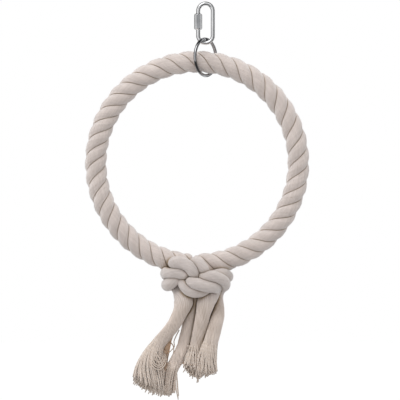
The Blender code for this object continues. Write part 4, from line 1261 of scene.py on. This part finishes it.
def level_corners(left, front, right, back, height):
    """Corners of a level rectangle."""
    return [(left, front, height), (right, front, height), (right, back, height), (left, back, height)]


def bright_rays(tree):
    """One for rays that show the background: from the camera, from a mirror or through glass."""
    path = put(tree, "ShaderNodeLightPath")
    seen = reckon(tree, "MAXIMUM", path.outputs["Is Camera Ray"], path.outputs["Is Glossy Ray"])
    return reckon(tree, "MAXIMUM", seen, path.outputs["Is Transmission Ray"])


def light_world(look):
    """Even soft light, stronger from behind than from the viewer's side, and a white background."""
    world = bpy.data.worlds.new("studio")
    bpy.context.scene.world = world
    world.use_nodes = True
    tree = world.node_tree
    tree.nodes.clear()
    place = put(tree, "ShaderNodeTexCoord").outputs["Generated"]
    way = put(tree, "ShaderNodeSeparateXYZ", {0: place}).outputs
    strength = ramp(tree, way["Y"], look.sky_front, look.sky_back, *SKY_DEPTH)
    for axis, low, high in (("Z", look.sky_below, look.sky_above), ("X", look.sky_left, look.sky_right)):
        strength = reckon(tree, "MULTIPLY", strength, ramp(tree, way[axis], low, high, *SKY_SIDES))
    colour = tint(tree, ramp(tree, way["Y"], 0.0, 1.0, *SKY_DEPTH), SKY_FRONT, SKY_BACK)
    light = put(tree, "ShaderNodeBackground", {"Color": colour, "Strength": strength})
    white = put(tree, "ShaderNodeBackground", {"Color": WHITE, "Strength": 1.0})
    mix = put(tree, "ShaderNodeMixShader", {0: bright_rays(tree), 1: light.outputs[0], 2: white.outputs[0]})
    put(tree, "ShaderNodeOutputWorld", {0: mix.outputs[0]})


def floor_material():
    """A pale floor: nearly white where it is seen, with enough plain shading left to keep a shadow."""
    material, tree, shader = new_material("pale_floor", {"Roughness": 0.9})
    shade = ramp(tree, cloud(tree, own_place(tree), 3.0), 0.86, 0.90, 0.3, 0.7)
    feed(tree, shader.inputs["Base Color"], shade)
    glow = put(tree, "ShaderNodeEmission", {"Color": WHITE, "Strength": 1.0})
    share = reckon(tree, "MULTIPLY", bright_rays(tree), FLOOR_GLOW)
    mix = put(tree, "ShaderNodeMixShader", {0: share, 1: shader.outputs[0], 2: glow.outputs[0]})
    feed(tree, tree.nodes["Material Output"].inputs[0], mix.outputs[0])
    return material


def flag_material(name, shade):
    """Grey studio cloth that puts darker streaks into the bright metal."""
    material, tree, shader = new_material(name, {"Roughness": 1.0})
    cloth = ramp(tree, cloud(tree, own_place(tree), 4.0), 0.9 * shade, 1.1 * shade)
    feed(tree, shader.inputs["Base Color"], cloth)
    return material


def soft_lamp(name, place, aim, size, power):
    """A square soft light that faces a point."""
    lamp = bpy.data.lights.new(name, "AREA")
    lamp.shape = "SQUARE"
    lamp.size = size
    lamp.energy = power
    holder = bpy.data.objects.new(name, lamp)
    bpy.context.scene.collection.objects.link(holder)
    way = np.array(place) - np.array(aim)
    flat = math.hypot(way[0], way[1])
    holder.location = place
    holder.rotation_euler = (math.atan2(flat, way[2]), 0.0, math.atan2(way[0], -way[1]))


class SWING_OT_set_stage(bpy.types.Operator):
    """Set up the camera, the soft light, the pale floor and the grey flags"""

    bl_idname = "swing.set_stage"
    bl_label = "Set the stage"

    def execute(self, context):
        look = context.scene.swing_stage
        context.scene.view_settings.view_transform = "Standard"
        camera = bpy.data.cameras.new("photo_view")
        camera.sensor_width = SENSOR_WIDTH
        camera.lens = SENSOR_WIDTH * look.camera_distance / look.picture_width
        holder = bpy.data.objects.new("photo_view", camera)
        holder.location = (look.camera_right, -look.camera_distance, look.camera_up)
        holder.rotation_euler = (math.pi / 2.0, 0.0, 0.0)
        context.scene.collection.objects.link(holder)
        context.scene.camera = holder
        light_world(look)
        soft_lamp("key_light", KEY_PLACE, KEY_AIM, KEY_SIZE, look.key_power)
        floor = level_corners(-FLOOR_REACH, -FLOOR_REACH, FLOOR_REACH, FLOOR_REACH, look.floor_height)
        stage_panel("floor", floor, floor_material(), seen=True)
        for name, (start, stop, bottom, top, shade) in FLAGS.items():
            turns = np.radians([start, stop, stop, start])
            corners = np.stack([np.sin(turns), -np.cos(turns), [bottom, bottom, top, top]], axis=-1)
            stage_panel(name, corners.tolist(), flag_material(name, shade))
        for name, sides in LEVEL_FLAGS.items():
            stage_panel(name, level_corners(*sides), flag_material(name, LEVEL_FLAG_SHADE))
        return {"FINISHED"}


class SWING_OT_tie_knot(bpy.types.Operator):
    """Tie the six strand ends into the knot, let them hang and fray their cut ends"""

    bl_idname = "swing.tie_knot"
    bl_label = "Tie the knot"

    def execute(self, context):
        look, rope_look = context.scene.swing_knot, context.scene.swing_rope
        tied = cotton_material("tied_cotton", rope_look, look.colour, look.hanging_colour,
                               bump=0.26 * MM, waver=0.5, fibre=0.9)
        loose = cotton_material("loose_cotton", rope_look, look.loose_colour, look.loose_colour,
                                bump=0.16 * MM, waver=0.1, fibre=0.7)
        for strand in tied_strands():
            piece = make_strand(strand, look, rope_look, tied)
            yarns = make_yarns(strand, look, loose)
        make_loose_yarns(look, loose)
        return {"FINISHED"}


class SWING_OT_lay_rope(bpy.types.Operator):
    """Lay the three strands of the rope round the hoop"""

    bl_idname = "swing.lay_rope"
    bl_label = "Lay the rope"

    def execute(self, context):
        look = context.scene.swing_rope
        material = cotton_material("laid_cotton", look, look.colour, look.colour,
                                   bump=0.36 * MM, waver=0.9, fibre=0.8)
        for number in range(STRAND_COUNT):
            lay_rope_strand(number, look, material)
        return {"FINISHED"}


class SWING_OT_make_steel(bpy.types.Operator):
    """Make the screw link, its sleeve and the hanging ring, and finish the hidden core"""

    bl_idname = "swing.make_steel"
    bl_label = "Make the steel pieces"

    def execute(self, context):
        look = context.scene.swing_steel
        bright = steel_material("bright_plating", look.colour, dull=0.16, bright=0.06,
                                smear=160.0, scratch=900.0)
        ring = steel_material("ring_plating", look.ring_colour, dull=0.15, bright=0.05,
                              smear=140.0, scratch=1100.0)
        core = steel_material("core_wire", look.core_colour, dull=0.55, bright=0.35,
                              smear=220.0, scratch=700.0)
        make_link(look, bright)
        make_sleeve(look, bright)
        make_ring(look, ring)
        wire = frame["nodes"]["core_hoop"]
        wire.data.materials.clear()
        wire.data.materials.append(core)
        return {"FINISHED"}


class SWING_PT_build(bpy.types.Panel):
    """Steps that build the swing"""

    bl_idname = "SWING_PT_build"
    bl_label = "Ring bird swing"
    bl_space_type = "VIEW_3D"
    bl_region_type = "UI"
    bl_category = "Swing"

    def draw(self, context):
        for operator in OPERATORS:
            self.layout.operator(operator.bl_idname)
        for store in LOOKS:
            look = getattr(context.scene, store)
            box = self.layout.box()
            for label in look.__annotations__:
                box.prop(look, label)


LOOKS = {"swing_rope": RopeLook, "swing_knot": KnotLook, "swing_steel": SteelLook, "swing_stage": StageLook}
OPERATORS = (SWING_OT_set_stage, SWING_OT_tie_knot, SWING_OT_lay_rope, SWING_OT_make_steel)


def register():
    """Register the settings, the operators and the panel."""
    for store, look in LOOKS.items():
        bpy.utils.register_class(look)
        setattr(bpy.types.Scene, store, PointerProperty(type=look))
    for kind in (*OPERATORS, SWING_PT_build):
        bpy.utils.register_class(kind)


def unregister():
    """Take the panel, the operators and the settings away again."""
    for kind in (SWING_PT_build, *reversed(OPERATORS)):
        bpy.utils.unregister_class(kind)
    for store, look in reversed(LOOKS.items()):
        delattr(bpy.types.Scene, store)
        bpy.utils.unregister_class(look)


def main():
    register()
    bpy.ops.swing.set_stage()
    bpy.ops.swing.tie_knot()
    bpy.ops.swing.lay_rope()
    bpy.ops.swing.make_steel()


if __name__ == "__main__":
    main()
